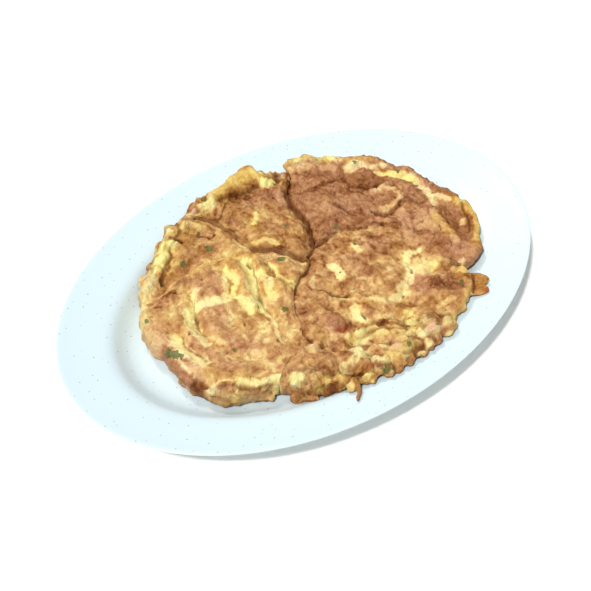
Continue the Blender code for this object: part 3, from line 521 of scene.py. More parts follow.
def ripple(points, size, seed):
    """Smooth noise from about -1 to 1, with features as large as size."""
    spread = points / size + seed * 7.31
    cell = np.floor(spread).astype(int)
    part = spread - cell
    fade = part**3 * (part * (part * 6 - 15) + 10)
    total = np.zeros(len(points))
    for corner in product((0, 1), repeat=3):
        slope = DIRECTIONS[shuffled(*(cell + corner).T)]
        weight = np.prod(np.where(corner, fade, 1 - fade), axis=1)
        total += weight * np.sum(slope * (part - corner), axis=1)
    return total * 1.7


def sideways_ripple(points, size, seed):
    """A push over the plan for each point."""
    return np.stack([ripple(points, size, seed), ripple(points, size, seed + 1)], axis=1)


def billows(points, size, seed):
    """Rounded swellings from about 0.2 to 1, with soft creases between them."""
    return 1 - np.exp(-2.6 * np.sqrt(ripple(points, size, seed) ** 2 + 0.01))


def curds(points, size, seed):
    """Rounded lumps of about one size: 0 in the creases and 1 on top, and a number for each lump."""
    spread = points / size + seed * 5.17
    cell = np.floor(spread).astype(int)
    first, second = np.full(len(points), 9.0), np.full(len(points), 9.0)
    lump = np.zeros(len(points))
    for step in product((-1, 0, 1), repeat=3):
        near = cell + step
        pick = shuffled(*near.T, np.full(len(points), seed))
        distance = np.linalg.norm(spread - near - PLACES[pick], axis=1)
        closer = distance < first
        second = np.where(closer, first, np.minimum(second, distance))
        lump = np.where(closer, PLACES[pick, 2], lump)
        first = np.minimum(first, distance)
    return eased(0.0, 0.5, second - first), lump


def eased(low, high, value):
    """0 below low, 1 above high, and a soft step between them."""
    t = np.clip((value - low) / (high - low), 0, 1)
    return t * t * (3 - 2 * t)


def through(points, step=1.6):
    """Closely spaced points on a smooth curve through the given ones."""
    given = np.array([points[0], *points, points[-1]], float)
    made = []
    for k in range(1, len(given) - 2):
        a, b, c, d = given[k - 1 : k + 3]
        count = max(1, int(np.linalg.norm(c - b) / step))
        for t in np.arange(count) / count:
            made.append(0.5 * (
                2 * b + (c - a) * t + (2 * a - 5 * b + 4 * c - d) * t**2 + (3 * b - a - 3 * c + d) * t**3))
    made.append(given[-1])
    return np.array(made)


def beside(plan, points):
    """For each place: how far it is from the curve, on which side (1 is left), and how far along (0 to 1)."""
    curve = through(points)
    best = np.full(len(plan), 1e9)
    side, along = np.zeros(len(plan)), np.zeros(len(plan))
    for k in range(len(curve) - 1):
        start, run = curve[k], curve[k + 1] - curve[k]
        away = plan - start
        t = np.clip(away @ run / (run @ run), 0, 1)
        distance = np.linalg.norm(away - t[:, None] * run, axis=1)
        closer = distance < best
        best = np.where(closer, distance, best)
        side = np.where(closer, np.sign(run[0] * away[:, 1] - run[1] * away[:, 0]), side)
        along = np.where(closer, (k + t) / (len(curve) - 1), along)
    return best, side, along


def close_to(plan, points, reach):
    """Which places are in the box round the points, grown by reach."""
    points = np.array(points, float)
    return np.all((plan > points.min(0) - reach) & (plan < points.max(0) + reach), axis=1)


# ---------------------------------------------------------------- making and choosing


def only(piece):
    """Selects one object alone, and makes it active."""
    bpy.ops.object.select_all(action="DESELECT")
    piece.select_set(True)
    bpy.context.view_layer.objects.active = piece


def modified(piece, kind, **settings):
    """Adds a modifier with these settings and applies it."""
    only(piece)
    modifier = piece.modifiers.new(kind, kind)
    for setting, value in settings.items():
        setattr(modifier, setting, value)
    bpy.ops.object.modifier_apply(modifier=modifier.name)


def merged_copy(node, name):
    """A new object with a node's shape, its loose triangles joined."""
    piece = bpy.data.objects.new(name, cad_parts[node].data.copy())
    piece.data.name = name
    bpy.context.scene.collection.objects.link(piece)
    piece.data.materials.clear()
    only(piece)
    bpy.ops.object.mode_set(mode="EDIT")
    bpy.ops.mesh.select_all(action="SELECT")
    bpy.ops.mesh.remove_doubles(threshold=1e-5)
    bpy.ops.object.mode_set(mode="OBJECT")
    return piece


def points_of(piece):
    """The piece's points in millimetres, and its normals."""
    mesh = piece.data
    points = np.empty(len(mesh.vertices) * 3)
    normals = np.empty(len(mesh.vertices) * 3)
    mesh.vertices.foreach_get("co", points)
    mesh.vertices.foreach_get("normal", normals)
    return points.reshape(-1, 3) / MM, normals.reshape(-1, 3)


def set_points(piece, points):
    piece.data.vertices.foreach_set("co", (points * MM).ravel())
    piece.data.update()


def paint(piece, name, values):
    """Keeps a number for each point of the piece, for its material."""
    kept = piece.data.attributes.new(name, "FLOAT", "POINT")
    kept.data.foreach_set("value", np.clip(values, 0, 1).astype(np.float32))


def tree_of(node):
    """A node's faces, for rays and for nearest points."""
    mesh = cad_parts[node].data
    return BVHTree.FromPolygons([v.co for v in mesh.vertices], [p.vertices for p in mesh.polygons])


# ---------------------------------------------------------------- egg

EGGS = ["egg_top", "egg_right", "egg_left", "egg_bottom"]
trees = {node: tree_of(node) for node in [*EGGS, "plate"]}


def looked_down(node, x, y):
    """The height of a node's upper face in millimetres, at a place in metres, or None beside the node."""
    hit = trees[node].ray_cast(Vector((x, y, LOOK_FROM)), DOWN)[0]
    return hit.z / MM if hit else None


def shifted(grid, steps):
    """The grid moved by each of these steps."""
    return [np.roll(grid, step, (0, 1)) for step in steps]


def land(reach=7):
    """The omelette's height from above, filled over creases up to twice the reach wide."""
    heights = np.full(np.subtract(LAND_END, LAND_START), NOTHING)
    for i, j in product(*map(range, heights.shape)):
        x, y = (OMELETTE_MIDDLE + LAND_START + (i, j)) * MM
        found = [looked_down(node, x, y) for node in EGGS]
        heights[i, j] = max([height for height in found if height is not None], default=NOTHING)
    round_steps = [s for s in product(range(-reach, reach + 1), repeat=2) if math.hypot(*s) <= reach]
    filled = np.min(shifted(np.max(shifted(heights, round_steps), axis=0), round_steps), axis=0)
    for _ in range(3):
        filled = np.mean(shifted(filled, product((-1, 0, 1), repeat=2)), axis=0)
    return filled


def read(grid, plan):
    """A grid's value at each place, between its steps."""
    spread = np.clip(plan - LAND_START, 0, np.array(grid.shape) - 1.001)
    cell = spread.astype(int)
    u, v = (spread - cell).T
    i, j = cell.T
    low = grid[i, j] * (1 - u) + grid[i + 1, j] * u
    return low * (1 - v) + (grid[i, j + 1] * (1 - u) + grid[i + 1, j + 1] * u) * v


def neighbours(node, points):
    """The way from each point, over the plan, to the nearest other piece of egg, how far it is, and which."""
    ways = np.zeros((len(points), 2))
    apart = np.full(len(points), NEIGHBOURLY)
    nearest = np.full(len(points), EGGS.index(node))
    for k, p in enumerate(points):
        here = Vector(p * MM)
        for other in EGGS:
            found = trees[other].find_nearest(here, apart[k] * MM) if other != node else [None]
            if found[0]:
                ways[k] = (found[0].x / MM - p[0], found[0].y / MM - p[1])
                apart[k] = found[3] / MM
                nearest[k] = EGGS.index(other)
    return ways, apart, nearest


def plate_under(points):
    """The height of the plate's upper face under each point, in millimetres."""
    return np.array([looked_down("plate", x, y) or 0.0 for x, y, _ in points * MM])


def evened(piece, values, rounds):
    """The values, a row for each point, evened out along the piece's edges this many times."""
    edges = np.empty(len(piece.data.edges) * 2, int)
    piece.data.edges.foreach_get("vertices", edges)
    a, b = edges.reshape(-1, 2).T
    count = len(piece.data.vertices)
    links = np.bincount(a, minlength=count) + np.bincount(b, minlength=count)
    for _ in range(rounds):
        columns = [
            np.bincount(a, column[b], minlength=count) + np.bincount(b, column[a], minlength=count)
            for column in values.T
        ]
        values = np.stack(columns, axis=1) / links[:, None]
    return values


def swept(plan, line, reach):
    """The places near a line, and for these how far each is from it, on which side, and how far along."""
    here = close_to(plan, line, reach)
    return here, *beside(plan[here], line)


def tapered(along, part):
    """1 along a line, and down to 0 at both ends."""
    return eased(0.0, part, along) * eased(0.0, part, 1 - along)


class Crust:
    """A piece of the omelette while it is folded and browned. Lengths are millimetres."""

    def __init__(self, node, piece):
        self.node, self.piece = node, piece
        self.points, self.normals = points_of(piece)
        self.base = plate_under(self.points)
        self.plan = self.points[:, :2] - OMELETTE_MIDDLE
        self.ways, self.apart, self.other = neighbours(node, self.points)
        self.reach = np.linalg.norm(self.ways, axis=1)
        # Whether another piece is close by, whether there is room to move sideways, and whether it faces up.
        self.beside_other = 1 - eased(3.0, 8.0, self.apart)
        self.room = eased(1.6, 5.0, self.apart)
        self.upward = eased(0.05, 0.55, self.normals[:, 2])
        self.opened = np.zeros(len(self.points))
        for opened, _, _, line in CREASES:
            here, distance, _, _ = swept(self.plan, line, 9.0)
            self.opened[here] = np.maximum(self.opened[here], opened * (1 - eased(3.0, 9.0, distance)))
        # How far it has grown together with its neighbour.
        self.shared = self.beside_other * (1 - np.minimum(1.6 * self.opened, 1))
        self.pale, self.parted = np.zeros((2, len(self.points)))

    def blended(self, numbers):
        """This piece's number, mixed with a neighbour's where the two have grown together."""
        others = 0.5 * (1 - eased(0.0, NEIGHBOURLY, self.apart)) * self.shared
        return numbers[self.node] * (1 - others) + np.array([numbers[n] for n in EGGS])[self.other] * others

    def zone(self, stretches):
        """How strongly each point is in any of these stretches."""
        strength = np.zeros(len(self.points))
        for most, reach, line in stretches:
            here, distance, _, _ = swept(self.loose, line, reach)
            strength[here] = np.maximum(strength[here], most * (1 - eased(0.35, 1.0, distance / reach)))
        return strength

    def meet_neighbours(self):
        """Neighbours meet, and the valley between them is filled up to its own crease."""
        towards = self.ways / np.maximum(self.reach, 1e-6)[:, None]
        closing = np.maximum(self.reach / 2 - 0.05 + 0.40 * (self.opened < 0.1), 0)
        closing *= (1 - eased(1.5, 5.0, self.reach)) * self.beside_other
        self.gap = np.maximum(self.reach / 2 - closing, 0)
        self.points[:, :2] += towards * closing[:, None]
        lifted = eased(-0.02, 0.12, self.normals[:, 2]) * self.beside_other
        self.plan = self.points[:, :2] - OMELETTE_MIDDLE
        self.points[:, 2] += np.maximum(read(FILLED, self.plan) - self.points[:, 2], 0) * lifted

    def waver(self):
        """The whole omelette wavers, the same on both sides of a seam, and the lines on it wander."""
        flat = np.column_stack([self.plan, np.zeros(len(self.plan))])
        waver = sideways_ripple(flat, 7.0, 16) + 0.5 * sideways_ripple(flat, 2.8, 18)
        self.solid = np.column_stack([self.plan, self.points[:, 2]])
        self.points[:, :2] += 0.8 * waver
        self.wander, self.shiver = sideways_ripple(self.solid, 6.0, 1), sideways_ripple(self.solid, 2.0, 3)
        self.loose = self.plan + self.wander + 0.5 * self.shiver
        middle, turn, reach = STREAKED
        run = np.array([*pointing(turn), 0])
        away = self.solid - (*middle, 0)
        drawn = 0.6 * np.exp(-np.sum(away[:, :2] ** 2, axis=1) / reach**2) * (away @ run)
        self.streaked = self.solid - drawn[:, None] * run
        self.smooth = self.zone(SMOOTH[self.node])
        self.scrambled = self.zone(SCRAMBLED[self.node]) * (1 - self.smooth) * (1 - 0.8 * self.shared)
        self.uneven = self.blended(UNEVENNESS) * (1 - 0.8 * self.smooth)
        self.own = self.blended(PLAIN_TONE)

    def roughen(self):
        """Swellings, folds and wrinkles all over, and loose curds where the egg is scrambled."""
        shift = 1.8 * self.wander + 0.8 * self.shiver
        warped = self.streaked + np.column_stack([shift, np.zeros(len(shift))])
        swell, fold = billows(warped, 14.0, 20) - 0.6, billows(warped, 7.0, 21) - 0.55
        self.height = 2.0 * swell + 1.3 * fold + 0.70 * (billows(warped, 3.6, 22) - 0.5)
        self.height += 0.30 * ripple(self.points, 2.6, 6) + 0.10 * ripple(self.points, 1.4, 5)
        self.height *= self.uneven
        mottle = 0.10 * ripple(self.solid, 26.0, 7) + 0.26 * ripple(self.streaked, 9.0, 8)
        mottle += 0.28 * ripple(self.streaked, 4.2, 14) + 0.18 * ripple(self.streaked, 2.2, 24)
        mottled = self.blended(MOTTLING) * (1 - 0.6 * self.smooth)
        self.tone = self.own + mottled * (mottle + 0.20 * swell + 0.12 * fold)
        chunk, which = curds(warped, 9.0, 2)
        bit, which_bit = curds(warped, 4.6, 3)
        self.height += self.scrambled * (1.8 * (chunk - 0.7) + 2.0 * (which - 0.5) + 0.5 * (bit - 0.6))
        tone = 0.37 + 0.85 * (which - 0.5) + 0.25 * (which_bit - 0.5) + 0.8 * mottle
        self.tone += (tone - self.tone) * 0.8 * self.scrambled
        # Painted shade in the creases between curds.
        self.slit = self.scrambled * (0.55 * (1 - chunk) ** 2 + 0.12 * (1 - bit) ** 2)

    def part(self):
        """The seams where two pieces have grown apart: one has a rounded edge, the other dips to it, and
        painted shade darkens the crease.
        """
        for opened, half_width, high, line in CREASES:
            dip, roll = (0.5, 0.9) if self.node == high else (1.8, 0.0)
            here, distance, _, along = swept(self.plan, line, 7.0)
            gap = self.gap[here]
            ends = 0.7 * tapered(along, 0.12) + 0.3
            cut = opened * ends * self.beside_other[here] * (1 - eased(4.0, 7.0, distance))
            self.parted[here] = np.maximum(self.parted[here], cut)
            groove = 2.8 * np.exp(-((gap / half_width) ** 2)) + dip * np.exp(-((gap / 4.0) ** 2))
            self.height[here] += cut * (roll * np.exp(-(((gap - 3.0) / 2.2) ** 2)) - groove)
            # Painted shade fills the crease, and the egg beside it is painted a little darker for shade.
            self.slit[here] = np.maximum(self.slit[here], 0.85 * cut * np.exp(-((gap / 1.0) ** 2)))
            self.tone[here] += 0.06 * cut * np.exp(-((gap / 3.0) ** 2))

    def overlap(self):
        """The edges of layers: raised on one side, sunk and shaded on the other."""
        for rise, line in LIPS[self.node]:
            here, distance, side, along = swept(self.loose, line, 8.0)
            over = np.where(side > 0, np.exp(-distance / 4.0), 0) * rise
            under = np.where(side > 0, 0, np.exp(-distance / 2.2)) * rise * 0.9
            ends = tapered(along, 0.14)
            self.height[here] += (over - under) * ends
            # Painted shade under the raised edge.
            shade = np.where(side > 0, 0, np.exp(-((distance / 1.0) ** 2))) * ends * 0.8
            self.slit[here] = np.maximum(self.slit[here], shade)
            self.tone[here] += 0.08 * ends * over

    def brown(self):
        """The strokes of browning, and painted shade in the darkest; a neighbour's are carried on where the
        two have grown together.
        """
        for owner, (depth, rise, half_width, line) in ((n, stroke) for n in EGGS for stroke in STROKES[n]):
            here = close_to(self.loose, line, 2.2 * half_width + 2)
            here &= (owner == self.node) | (self.shared > 0.02)
            if not here.any():
                continue
            share = 1.0 if owner == self.node else self.shared[here]
            distance, _, _ = beside(self.loose[here], line)
            ragged = 0.30 * ripple(self.solid[here], 2.8, 9) + 0.22 * ripple(self.solid[here], 1.3, 15)
            cover = share * (1 - eased(0.45, 1.35, distance / half_width + ragged))
            own_texture = 0.45 * (self.tone[here] - self.own[here])
            self.tone[here] += (depth + own_texture - self.tone[here]) * cover
            self.height[here] += share * rise * np.exp(-((distance / (1.1 * half_width)) ** 2))
            # The darkest strokes are holes: painted shade.
            if depth > PAINTED_SHADE_ABOVE:
                self.slit[here] = np.maximum(self.slit[here], 0.8 * cover)
            if depth < PALE:
                self.pale[here] = np.maximum(self.pale[here], cover)

    def cut(self):
        """The slits, darkened with painted shade."""
        for line in SLITS[self.node]:
            here, distance, _, along = swept(self.loose, line, 3.0)
            depth = np.exp(-((distance / 0.7) ** 2)) * tapered(along, 0.3)
            self.height[here] -= 2.2 * depth
            # Painted shade in the slit.
            self.slit[here] = np.maximum(self.slit[here], depth)

    def colour_lumps(self):
        """Each lump keeps its own tone."""
        for x, y, length, width, turn, colour in LUMPS[self.node]:
            across = turned(self.plan - (x, y), turn) / (length, width)
            above = (self.points[:, 2] - lump_height(x, y, width)) / width
            distance = np.linalg.norm(np.column_stack([across, above]), axis=1)
            cover = 1 - eased(0.8, 1.3, distance + 0.15 * ripple(self.solid, 2.4, 23))
            self.tone += (colour + 0.5 * (self.tone - self.own) - self.tone) * cover
            self.slit *= 1 - 0.7 * cover
            self.pale = np.maximum(self.pale, cover * (colour < PALE))

    def thin_flap(self):
        """The flap at the edge is a thin notched sheet, curled up at its tip and on its far side."""
        out, along = turned(self.plan - FLAP_BASE, FLAP_TURN).T
        flap = eased(0.0, 3.0, out) * (1 - eased(*FLAP_SIDES, np.abs(along)))
        push = np.zeros(len(out))
        for place, reach, far in FLAP_EDGE:
            push += far * np.exp(-(((along - place) / reach) ** 2)) * eased(2.0, 8.0, out)
        self.points[:, :2] += (push * flap)[:, None] * np.array(pointing(FLAP_TURN))
        curl = 0.4 + FLAP_TIP_CURL * eased(3.0, 12.0, out) + FLAP_SIDE_CURL * eased(-4.0, 4.0, along)
        through_sheet = np.clip((self.points[:, 2] - self.base) / 6.0, 0, 1)
        self.points[:, 2] += (self.base + curl + FLAP_THICKNESS * through_sheet - self.points[:, 2]) * flap

    def move(self):
        """Puts the heights into the points: upwards on top, and outwards where curds show on a wall."""
        edge = eased(0.0, 0.5, 1 - np.abs(self.normals[:, 2])) * self.room
        outward = self.normals[:, :2]
        sideways = outward / np.maximum(np.linalg.norm(outward, axis=1), 1e-6)[:, None]
        torn = 0.5 * ripple(self.points, 11.0, 30) + 0.45 * ripple(self.points, 4.6, 10)
        torn += (0.12 + 0.2 * self.scrambled) * ripple(self.points, 2.2, 11) - 0.2
        torn *= (self.points[:, 1] > FRONT) * (1 - self.smooth) * (0.7 + 0.8 * ripple(self.points, 17.0, 29))
        torn += 0.45 * self.scrambled * (1 - self.upward) * np.clip(self.height, -2.0, 2.0)
        self.points[:, :2] += sideways * (torn * edge)[:, None]
        self.points[:, 2] += self.height * self.upward
        knobbly = 0.40 * ripple(self.points, 4.0, 25) + 0.15 * ripple(self.points, 1.9, 26)
        self.points += self.normals * (knobbly * self.scrambled * self.room)[:, None]
        if self.node == "egg_bottom":
            self.thin_flap()
        for _ in range(3):
            # Spikes are pulled back towards their neighbours.
            pull = evened(self.piece, self.points, 1) - self.points
            self.points += pull * 0.6 * eased(0.25, 0.5, np.linalg.norm(pull, axis=1))[:, None]
        # What comes near the highest point of the solids is eased down to stay below it.
        high = np.maximum(self.points[:, 2] - HIGHEST + 1.6, 0)
        self.points[:, 2] -= high - 1.4 * high / (high + 1.4)
        self.points[:, 2] = np.maximum(self.points[:, 2], self.base + CLEARANCE)
        set_points(self.piece, self.points)

    def shade(self):
        """Painted shade darkens the hollows; the low steep walls are browned, the bottom edge is darkened by
        browning and painted contact shade, and rounded tops are painted a little paler as a highlight.
        """
        self.points, self.normals = points_of(self.piece)
        hollow = np.sum((evened(self.piece, self.points, 3) - self.points) * self.normals, axis=1)
        deep = np.sum((evened(self.piece, self.points, 24) - self.points) * self.normals, axis=1)
        closed = (1 - eased(1.5, 4.0, self.apart)) * (1 - np.minimum(2.5 * self.parted, 1))
        # Painted shade in hollows and deep recesses, kept off grown-together seams and pale egg.
        shadow = 0.55 * eased(0.06, 0.35, hollow) + 0.35 * eased(0.25, 1.1, deep)
        self.slit = np.maximum(self.slit, shadow * (1 - closed) * (1 - 0.75 * self.pale))
        steep = eased(0.25, 0.75, 1 - np.abs(self.normals[:, 2]))
        low = self.points[:, 2] - self.base + 0.8 * ripple(self.points, 3.0, 27)
        wall = (1 - eased(0.5, 7.0, low)) * steep * (1 - 0.6 * self.scrambled)
        self.tone += (0.60 + 0.3 * ripple(self.points, 4.0, 12) - self.tone) * 0.5 * wall
        # The bottom edge is darkened: browning and painted contact shade where it meets the plate.
        self.tone += (0.95 - self.tone) * 0.8 * (1 - eased(0.8, 2.6, low))
        # Rounded tops a little paler: a painted highlight.
        self.tone -= 0.06 * eased(0.05, 0.3, -hollow)

    def tint(self):
        """How golden or rosy each point is."""
        tint = self.blended(PLAIN_TINT)
        for colour, half_width, line in TINTS[self.node]:
            here, distance, _, _ = swept(self.loose, line, 2 * half_width)
            tint[here] += (colour - tint[here]) * (1 - eased(0.5, 1.7, distance / half_width))
        return tint + 0.22 * ripple(self.solid, 11.0, 28)

    def keep(self):
        """Keeps the browning and the bits as numbers on the points, for the material."""
        paint(self.piece, "tone", self.tone)
        paint(self.piece, "tint", self.tint())
        paint(self.piece, "slit", self.slit)
        for name, spots in (("green", GREENS), ("red", REDS), ("pink", PINKS)):
            colour = np.zeros(len(self.points))
            for x, y, radius in spots[self.node]:
                away = np.linalg.norm(self.loose - (x, y), axis=1)
                below = np.max(self.points[:, 2], where=away < radius, initial=0.0) - self.points[:, 2]
                distance = np.hypot(away, 0.6 * below) / radius
                distance += 0.35 * ripple(self.points, 1.8, 13)
                colour = np.maximum(colour, 1 - eased(0.6, 1.4, distance))
            paint(self.piece, name, colour)


def sculpt(node, piece):
    """Moves the piece's points into folds, lumps, slits and a torn edge, and browns it to match."""
    crust = Crust(node, piece)
    crust.meet_neighbours()
    crust.waver()
    crust.roughen()
    crust.part()
    crust.overlap()
    crust.brown()
    crust.cut()
    crust.colour_lumps()
    crust.move()
    crust.shade()
    crust.keep()


def pointing(degrees):
    return math.cos(math.radians(degrees)), math.sin(math.radians(degrees))


def turned(plan, degrees):
    """The places as seen from something turned by so many degrees."""
    c, s = pointing(degrees)
    return plan @ np.array([[c, -s], [s, c]])


def lump_height(x, y, width):
    """How high a lump's middle is: half sunk in the omelette's top, or resting on the plate beside it."""
    base = plate_under(np.array([[*(OMELETTE_MIDDLE + (x, y)), 0.0]]))[0]
    return max(read(FILLED, np.array([[x, y]]))[0] - 0.35 * width, base + 0.5 + 0.8 * width)


def ball(spot, height, radius, **shape):
    """Adds a ball of egg to the mesh that is being edited."""
    place = (spot[0] * MM, spot[1] * MM, height * MM)
    bpy.ops.mesh.primitive_ico_sphere_add(subdivisions=2, radius=radius * MM, location=place, **shape)


def lump(x, y, length, width, turn, _):
    """Adds one lump from the list."""
    size = (length, width, 0.8 * width)
    spot, height = OMELETTE_MIDDLE + (x, y), lump_height(x, y, width)
    ball(spot, height, 1.0, rotation=(0, 0, math.radians(turn)), scale=size)


def crumb(x, y, radius, share):
    """Adds a crumb, some share of the way up the omelette's edge."""
    spot = OMELETTE_MIDDLE + (x, y)
    base = plate_under(np.array([[*spot, 0.0]]))[0]
    top = read(FILLED, np.array([[x, y]]))[0]
    top = top if top > base else base + 6
    height = base + 0.5 + radius * 0.8 + share * max(top - base - 1.7 * radius, 0)
    turn = chance.uniform(0, 3, 3)
    ball(spot, height, radius, rotation=turn, scale=chance.uniform((0.9, 0.7, 0.6), (1.5, 1.1, 0.9)))


def strand():
    """Adds the thin strand, as a row of overlapping balls."""
    start, end = np.array(STRAND)
    for along in np.linspace(0, 1, 12):
        x, y, radius, height = start + (end - start) * along
        x, y = OMELETTE_MIDDLE + (x + 0.3 * math.sin(4 * along), y)
        base = plate_under(np.array([[x, y, 0.0]]))[0]
        ball((x, y), base + 0.3 + radius + height, radius)


def add_crumbs(node, piece):
    """Adds all that is fused on to a piece of egg."""
    only(piece)
    bpy.ops.object.mode_set(mode="EDIT")
    for count, least, most, line in CRUMBS[node]:
        curve = through(line)
        for _ in range(count):
            x, y = curve[chance.integers(len(curve))] + chance.normal(0, 1.0, 2)
            crumb(x, y, least + (most - least) * chance.random() ** 2, chance.random())
    for numbers in LUMPS[node]:
        lump(*numbers)
    if node == "egg_bottom":
        strand()
    bpy.ops.object.mode_set(mode="OBJECT")


FILLED = land()
HIGHEST = cad_box[1][2] / MM


def egg(node):
    """A finer copy of a piece of egg, with its lumps and crumbs fused on, sculpted and browned."""
    piece = merged_copy(node, node + "_fried")
    add_crumbs(node, piece)
    modified(piece, "REMESH", mode="VOXEL", voxel_size=GRAIN * MM, use_smooth_shade=True)
    modified(piece, "SMOOTH", factor=0.5, iterations=8)
    sculpt(node, piece)
    bpy.ops.object.shade_smooth()
    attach(piece, "root")
    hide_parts(node)
    return piece


# ---------------------------------------------------------------- finishes


class Wire:
    """A node's output, which can be used in sums."""

    def __init__(self, finish, socket):
        self.finish, self.socket = finish, socket

    def sum(self, operation, first, second):
        return self.finish.node("ShaderNodeMath", {"operation": operation}, {0: first, 1: second})

    def __add__(self, other):
        return self.sum("ADD", self, other)

    __radd__ = __add__

    def __mul__(self, other):
        return self.sum("MULTIPLY", self, other)

    __rmul__ = __mul__

    def __sub__(self, other):
        return self.sum("SUBTRACT", self, other)

    def __rsub__(self, other):
        return self.sum("SUBTRACT", other, self)

    def __gt__(self, other):
        return self.sum("GREATER_THAN", self, other)

    def __lt__(self, other):
        return self.sum("LESS_THAN", self, other)


class Finish:
    """A material and its nodes."""

    def __init__(self, name, **constants):
        self.material = bpy.data.materials.new(name)
        self.material.use_nodes = True
        self.tree = self.material.node_tree
        self.surface = self.tree.nodes["Principled BSDF"]
        for socket, value in constants.items():
            self.surface.inputs[socket.replace("_", " ")].default_value = value
        self.place = self.node("ShaderNodeTexCoord", output="Object")

    def node(self, kind, settings=None, inputs=None, output=0):
        """Adds a node, with its settings set first and then its inputs, and returns one output."""
        made = self.tree.nodes.new(kind)
        for setting, value in (settings or {}).items():
            if setting == "stops":
                self.set_stops(made.color_ramp, value)
            else:
                setattr(made, setting, value)
        for socket, value in (inputs or {}).items():
            self.feed(made.inputs[socket], value)
        return Wire(self, made.outputs[output])

    def set_stops(self, ramp, stops):
        while len(ramp.elements) < len(stops):
            ramp.elements.new(1.0)
        for element, (position, colour) in zip(ramp.elements, stops):
            element.position, element.color = position, colour

    def feed(self, socket, value):
        if isinstance(value, Wire):
            self.tree.links.new(value.socket, socket)
        else:
            socket.default_value = value

    def noise(self, size, detail=2.0):
        """Noise from 0 to 1 with features of this size, in millimetres."""
        inputs = {"Vector": self.place, "Scale": 1 / (size * MM), "Detail": detail}
        return self.node("ShaderNodeTexNoise", None, inputs)

    def attribute(self, name):
        return self.node("ShaderNodeAttribute", {"attribute_name": name}, output="Fac")

    def ramp(self, value, stops):
        return self.node("ShaderNodeValToRGB", {"stops": stops}, {"Fac": value})

    def mixed(self, share, first, second):
        """A share of the second colour in the first."""
        return self.node("ShaderNodeMix", {"data_type": "RGBA"}, {"Factor": share, 6: first, 7: second}, 2)

    def stepped(self, value, low, high):
        inputs = {0: value, 1: low, 2: high}
        return self.node("ShaderNodeMapRange", {"interpolation_type": "SMOOTHSTEP"}, inputs)

    def bump(self, height, strength, distance):
        inputs = {"Height": height, "Strength": strength, "Distance": distance * MM}
        return self.node("ShaderNodeBump", None, inputs)


def rgb(red, green, blue):
    """A shader colour from 0 to 255 values."""
    parts = [c / 255 for c in (red, green, blue)]
    return (*(c / 12.92 if c <= 0.04045 else ((c + 0.055) / 1.055) ** 2.4 for c in parts), 1.0)


def fried_egg_finish():
    """Egg, browned by its tone, between golden and rosy, with bits in it, and painted shade darkening its
    hollows, creases and slits.
    """
    egg_skin = Finish("fried_egg", Roughness=0.5, IOR=1.42, Specular_IOR_Level=0.30)
    tone = egg_skin.attribute("tone")
    slit = egg_skin.attribute("slit")
    mottle, speck, grain = egg_skin.noise(2.4, 3.0), egg_skin.noise(0.9, 2.0), egg_skin.noise(0.45, 1.0)
    grit = (mottle - 0.5) * 0.66 + (speck - 0.5) * 0.46 + (grain - 0.5) * 0.16
    browned = tone + grit * (0.62 + tone * 0.20)
    golden = egg_skin.ramp(browned, [
        (0.0, rgb(242, 231, 144)),
        (0.15, rgb(234, 212, 125)),
        (0.30, rgb(222, 190, 103)),
        (0.45, rgb(207, 166, 83)),
        (0.60, rgb(192, 144, 69)),
        (0.75, rgb(172, 120, 52)),
        (0.90, rgb(144, 90, 26)),
        (1.0, rgb(104, 50, 8)),
    ])
    rosy = egg_skin.ramp(browned, [
        (0.0, rgb(240, 224, 172)),
        (0.15, rgb(230, 203, 153)),
        (0.30, rgb(217, 180, 132)),
        (0.45, rgb(203, 154, 113)),
        (0.60, rgb(185, 132, 96)),
        (0.75, rgb(159, 106, 70)),
        (0.90, rgb(140, 86, 46)),
        (1.0, rgb(104, 50, 18)),
    ])
    crust = egg_skin.mixed(egg_skin.attribute("tint"), golden, rosy)
    greens = egg_skin.ramp(speck, [(0.3, rgb(46, 58, 24)), (0.7, rgb(110, 126, 62))])
    leafy = egg_skin.stepped(egg_skin.attribute("green") + (mottle - 0.5) * 1.2, 0.40, 0.75)
    crust = egg_skin.mixed(leafy * 0.85, crust, greens)
    crust = egg_skin.mixed(egg_skin.attribute("red") * 0.7, crust, rgb(150, 46, 26))
    crust = egg_skin.mixed(egg_skin.attribute("pink") * 0.8, crust, rgb(228, 178, 146))
    # Painted shade: dark brown laid into the hollows, creases and slits.
    crust = egg_skin.mixed(slit * 0.85, crust, rgb(84, 36, 6))
    egg_skin.feed(egg_skin.surface.inputs["Base Color"], crust)
    egg_skin.feed(egg_skin.surface.inputs["Roughness"], 0.36 + mottle * 0.22 + (grain - 0.5) * 0.12)
    height = mottle * 0.5 + speck * 0.38 + grain * 0.16
    egg_skin.feed(egg_skin.surface.inputs["Normal"], egg_skin.bump(height, 0.9, 1.0))
    return egg_skin.material


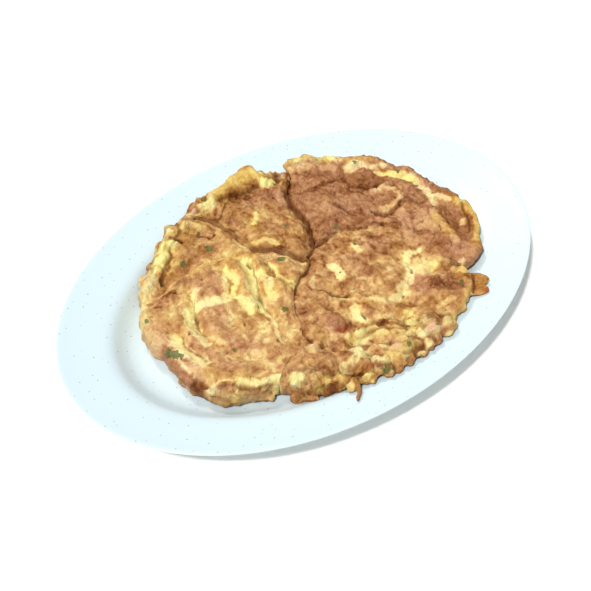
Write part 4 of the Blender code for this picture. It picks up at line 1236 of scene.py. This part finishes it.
def melamine_finish():
    """A cool white glaze with small dark specks, scattered a few millimetres apart."""
    ware = Finish("speckled_melamine", Roughness=0.3, IOR=1.5)
    inputs = {"Vector": ware.place, "Scale": 1 / (7.0 * MM), "Randomness": 1.0}
    spot = ware.node("ShaderNodeTexVoronoi", {"voronoi_dimensions": "2D"}, inputs, "Distance")
    pick = ware.node("ShaderNodeTexVoronoi", {"voronoi_dimensions": "2D"}, inputs, "Color")
    pick = ware.node("ShaderNodeSeparateColor", None, {"Color": pick}, "Red")
    speck = (spot + ware.noise(0.5) * 0.05 < 0.035 + pick * 0.045) * (pick > 0.4)
    glaze = ware.mixed(ware.noise(30.0), rgb(217, 236, 243), rgb(214, 233, 241))
    glaze = ware.mixed(speck * 0.65, glaze, rgb(110, 114, 124))
    ware.feed(ware.surface.inputs["Base Color"], glaze)
    ware.feed(ware.surface.inputs["Roughness"], 0.26 + ware.noise(14.0) * 0.08)
    ware.feed(ware.surface.inputs["Normal"], ware.bump(ware.noise(9.0, 1.0), 0.1, 0.3))
    return ware.material


# ---------------------------------------------------------------- plate


def plate():
    """The plate, with its faces rounded."""
    piece = merged_copy("plate", "oval_plate")
    modified(piece, "SUBSURF", levels=2, render_levels=2)
    bpy.ops.object.shade_smooth()
    piece.data.materials.append(melamine_finish())
    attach(piece, "root")
    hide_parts("plate")


# ---------------------------------------------------------------- camera, lights and floor


def camera():
    """A camera that looks down at the plate from its front left."""
    azimuth, elevation = math.radians(-39.4), math.radians(48.0)
    middle, distance = Vector((-0.0166, -0.0126, 0.0241)), 0.6
    level = math.cos(elevation)
    away = Vector((math.sin(azimuth) * level, -math.cos(azimuth) * level, math.sin(elevation)))
    made = bpy.data.objects.new("camera", bpy.data.cameras.new("camera"))
    made.data.lens, made.data.sensor_width = 65.17, 36.0
    made.location = middle + away * distance
    made.rotation_euler = away.to_track_quat("Z", "Y").to_euler()
    bpy.context.scene.collection.objects.link(made)
    bpy.context.scene.camera = made


def sun(name, energy, softness, colour, towards):
    """A sun that stands in the direction given."""
    light = bpy.data.lights.new(name, "SUN")
    light.energy, light.angle, light.color = energy, math.radians(softness), colour
    made = bpy.data.objects.new(name, light)
    made.rotation_euler = Vector(towards).to_track_quat("Z", "Y").to_euler()
    bpy.context.scene.collection.objects.link(made)


def lights():
    """Two soft suns and an even light all round."""
    world = bpy.data.worlds.new("studio")
    world.use_nodes = True
    sky = world.node_tree.nodes["Background"].inputs
    sky["Color"].default_value, sky["Strength"].default_value = (1.0, 0.99, 0.98, 1.0), 0.37
    bpy.context.scene.world = world
    sun("key", 1.05, 12, (1.0, 0.99, 0.97), (0.1, 0.9, 1.0))
    sun("fill", 2.6, 5, (1.0, 0.99, 0.97), (-0.56, -0.22, 1.0))
    bpy.context.scene.view_settings.view_transform = "Standard"


def floor():
    """A wide flat floor."""
    bpy.ops.object.select_all(action="DESELECT")
    bpy.ops.mesh.primitive_plane_add(size=40.0, location=(0, 0, 0))
    made = bpy.context.object
    made.name = "floor"
    pale = Finish("pale_floor", Roughness=0.9, Emission_Color=(1, 0.9, 0.78, 1), Emission_Strength=0.06)
    colour = pale.mixed(pale.noise(60.0), rgb(250, 249, 246), rgb(247, 246, 244))
    pale.feed(pale.surface.inputs["Base Color"], colour)
    made.data.materials.append(pale.material)


camera()
lights()
floor()
plate()
fried = fried_egg_finish()
for node in EGGS:
    egg(node).data.materials.append(fried)
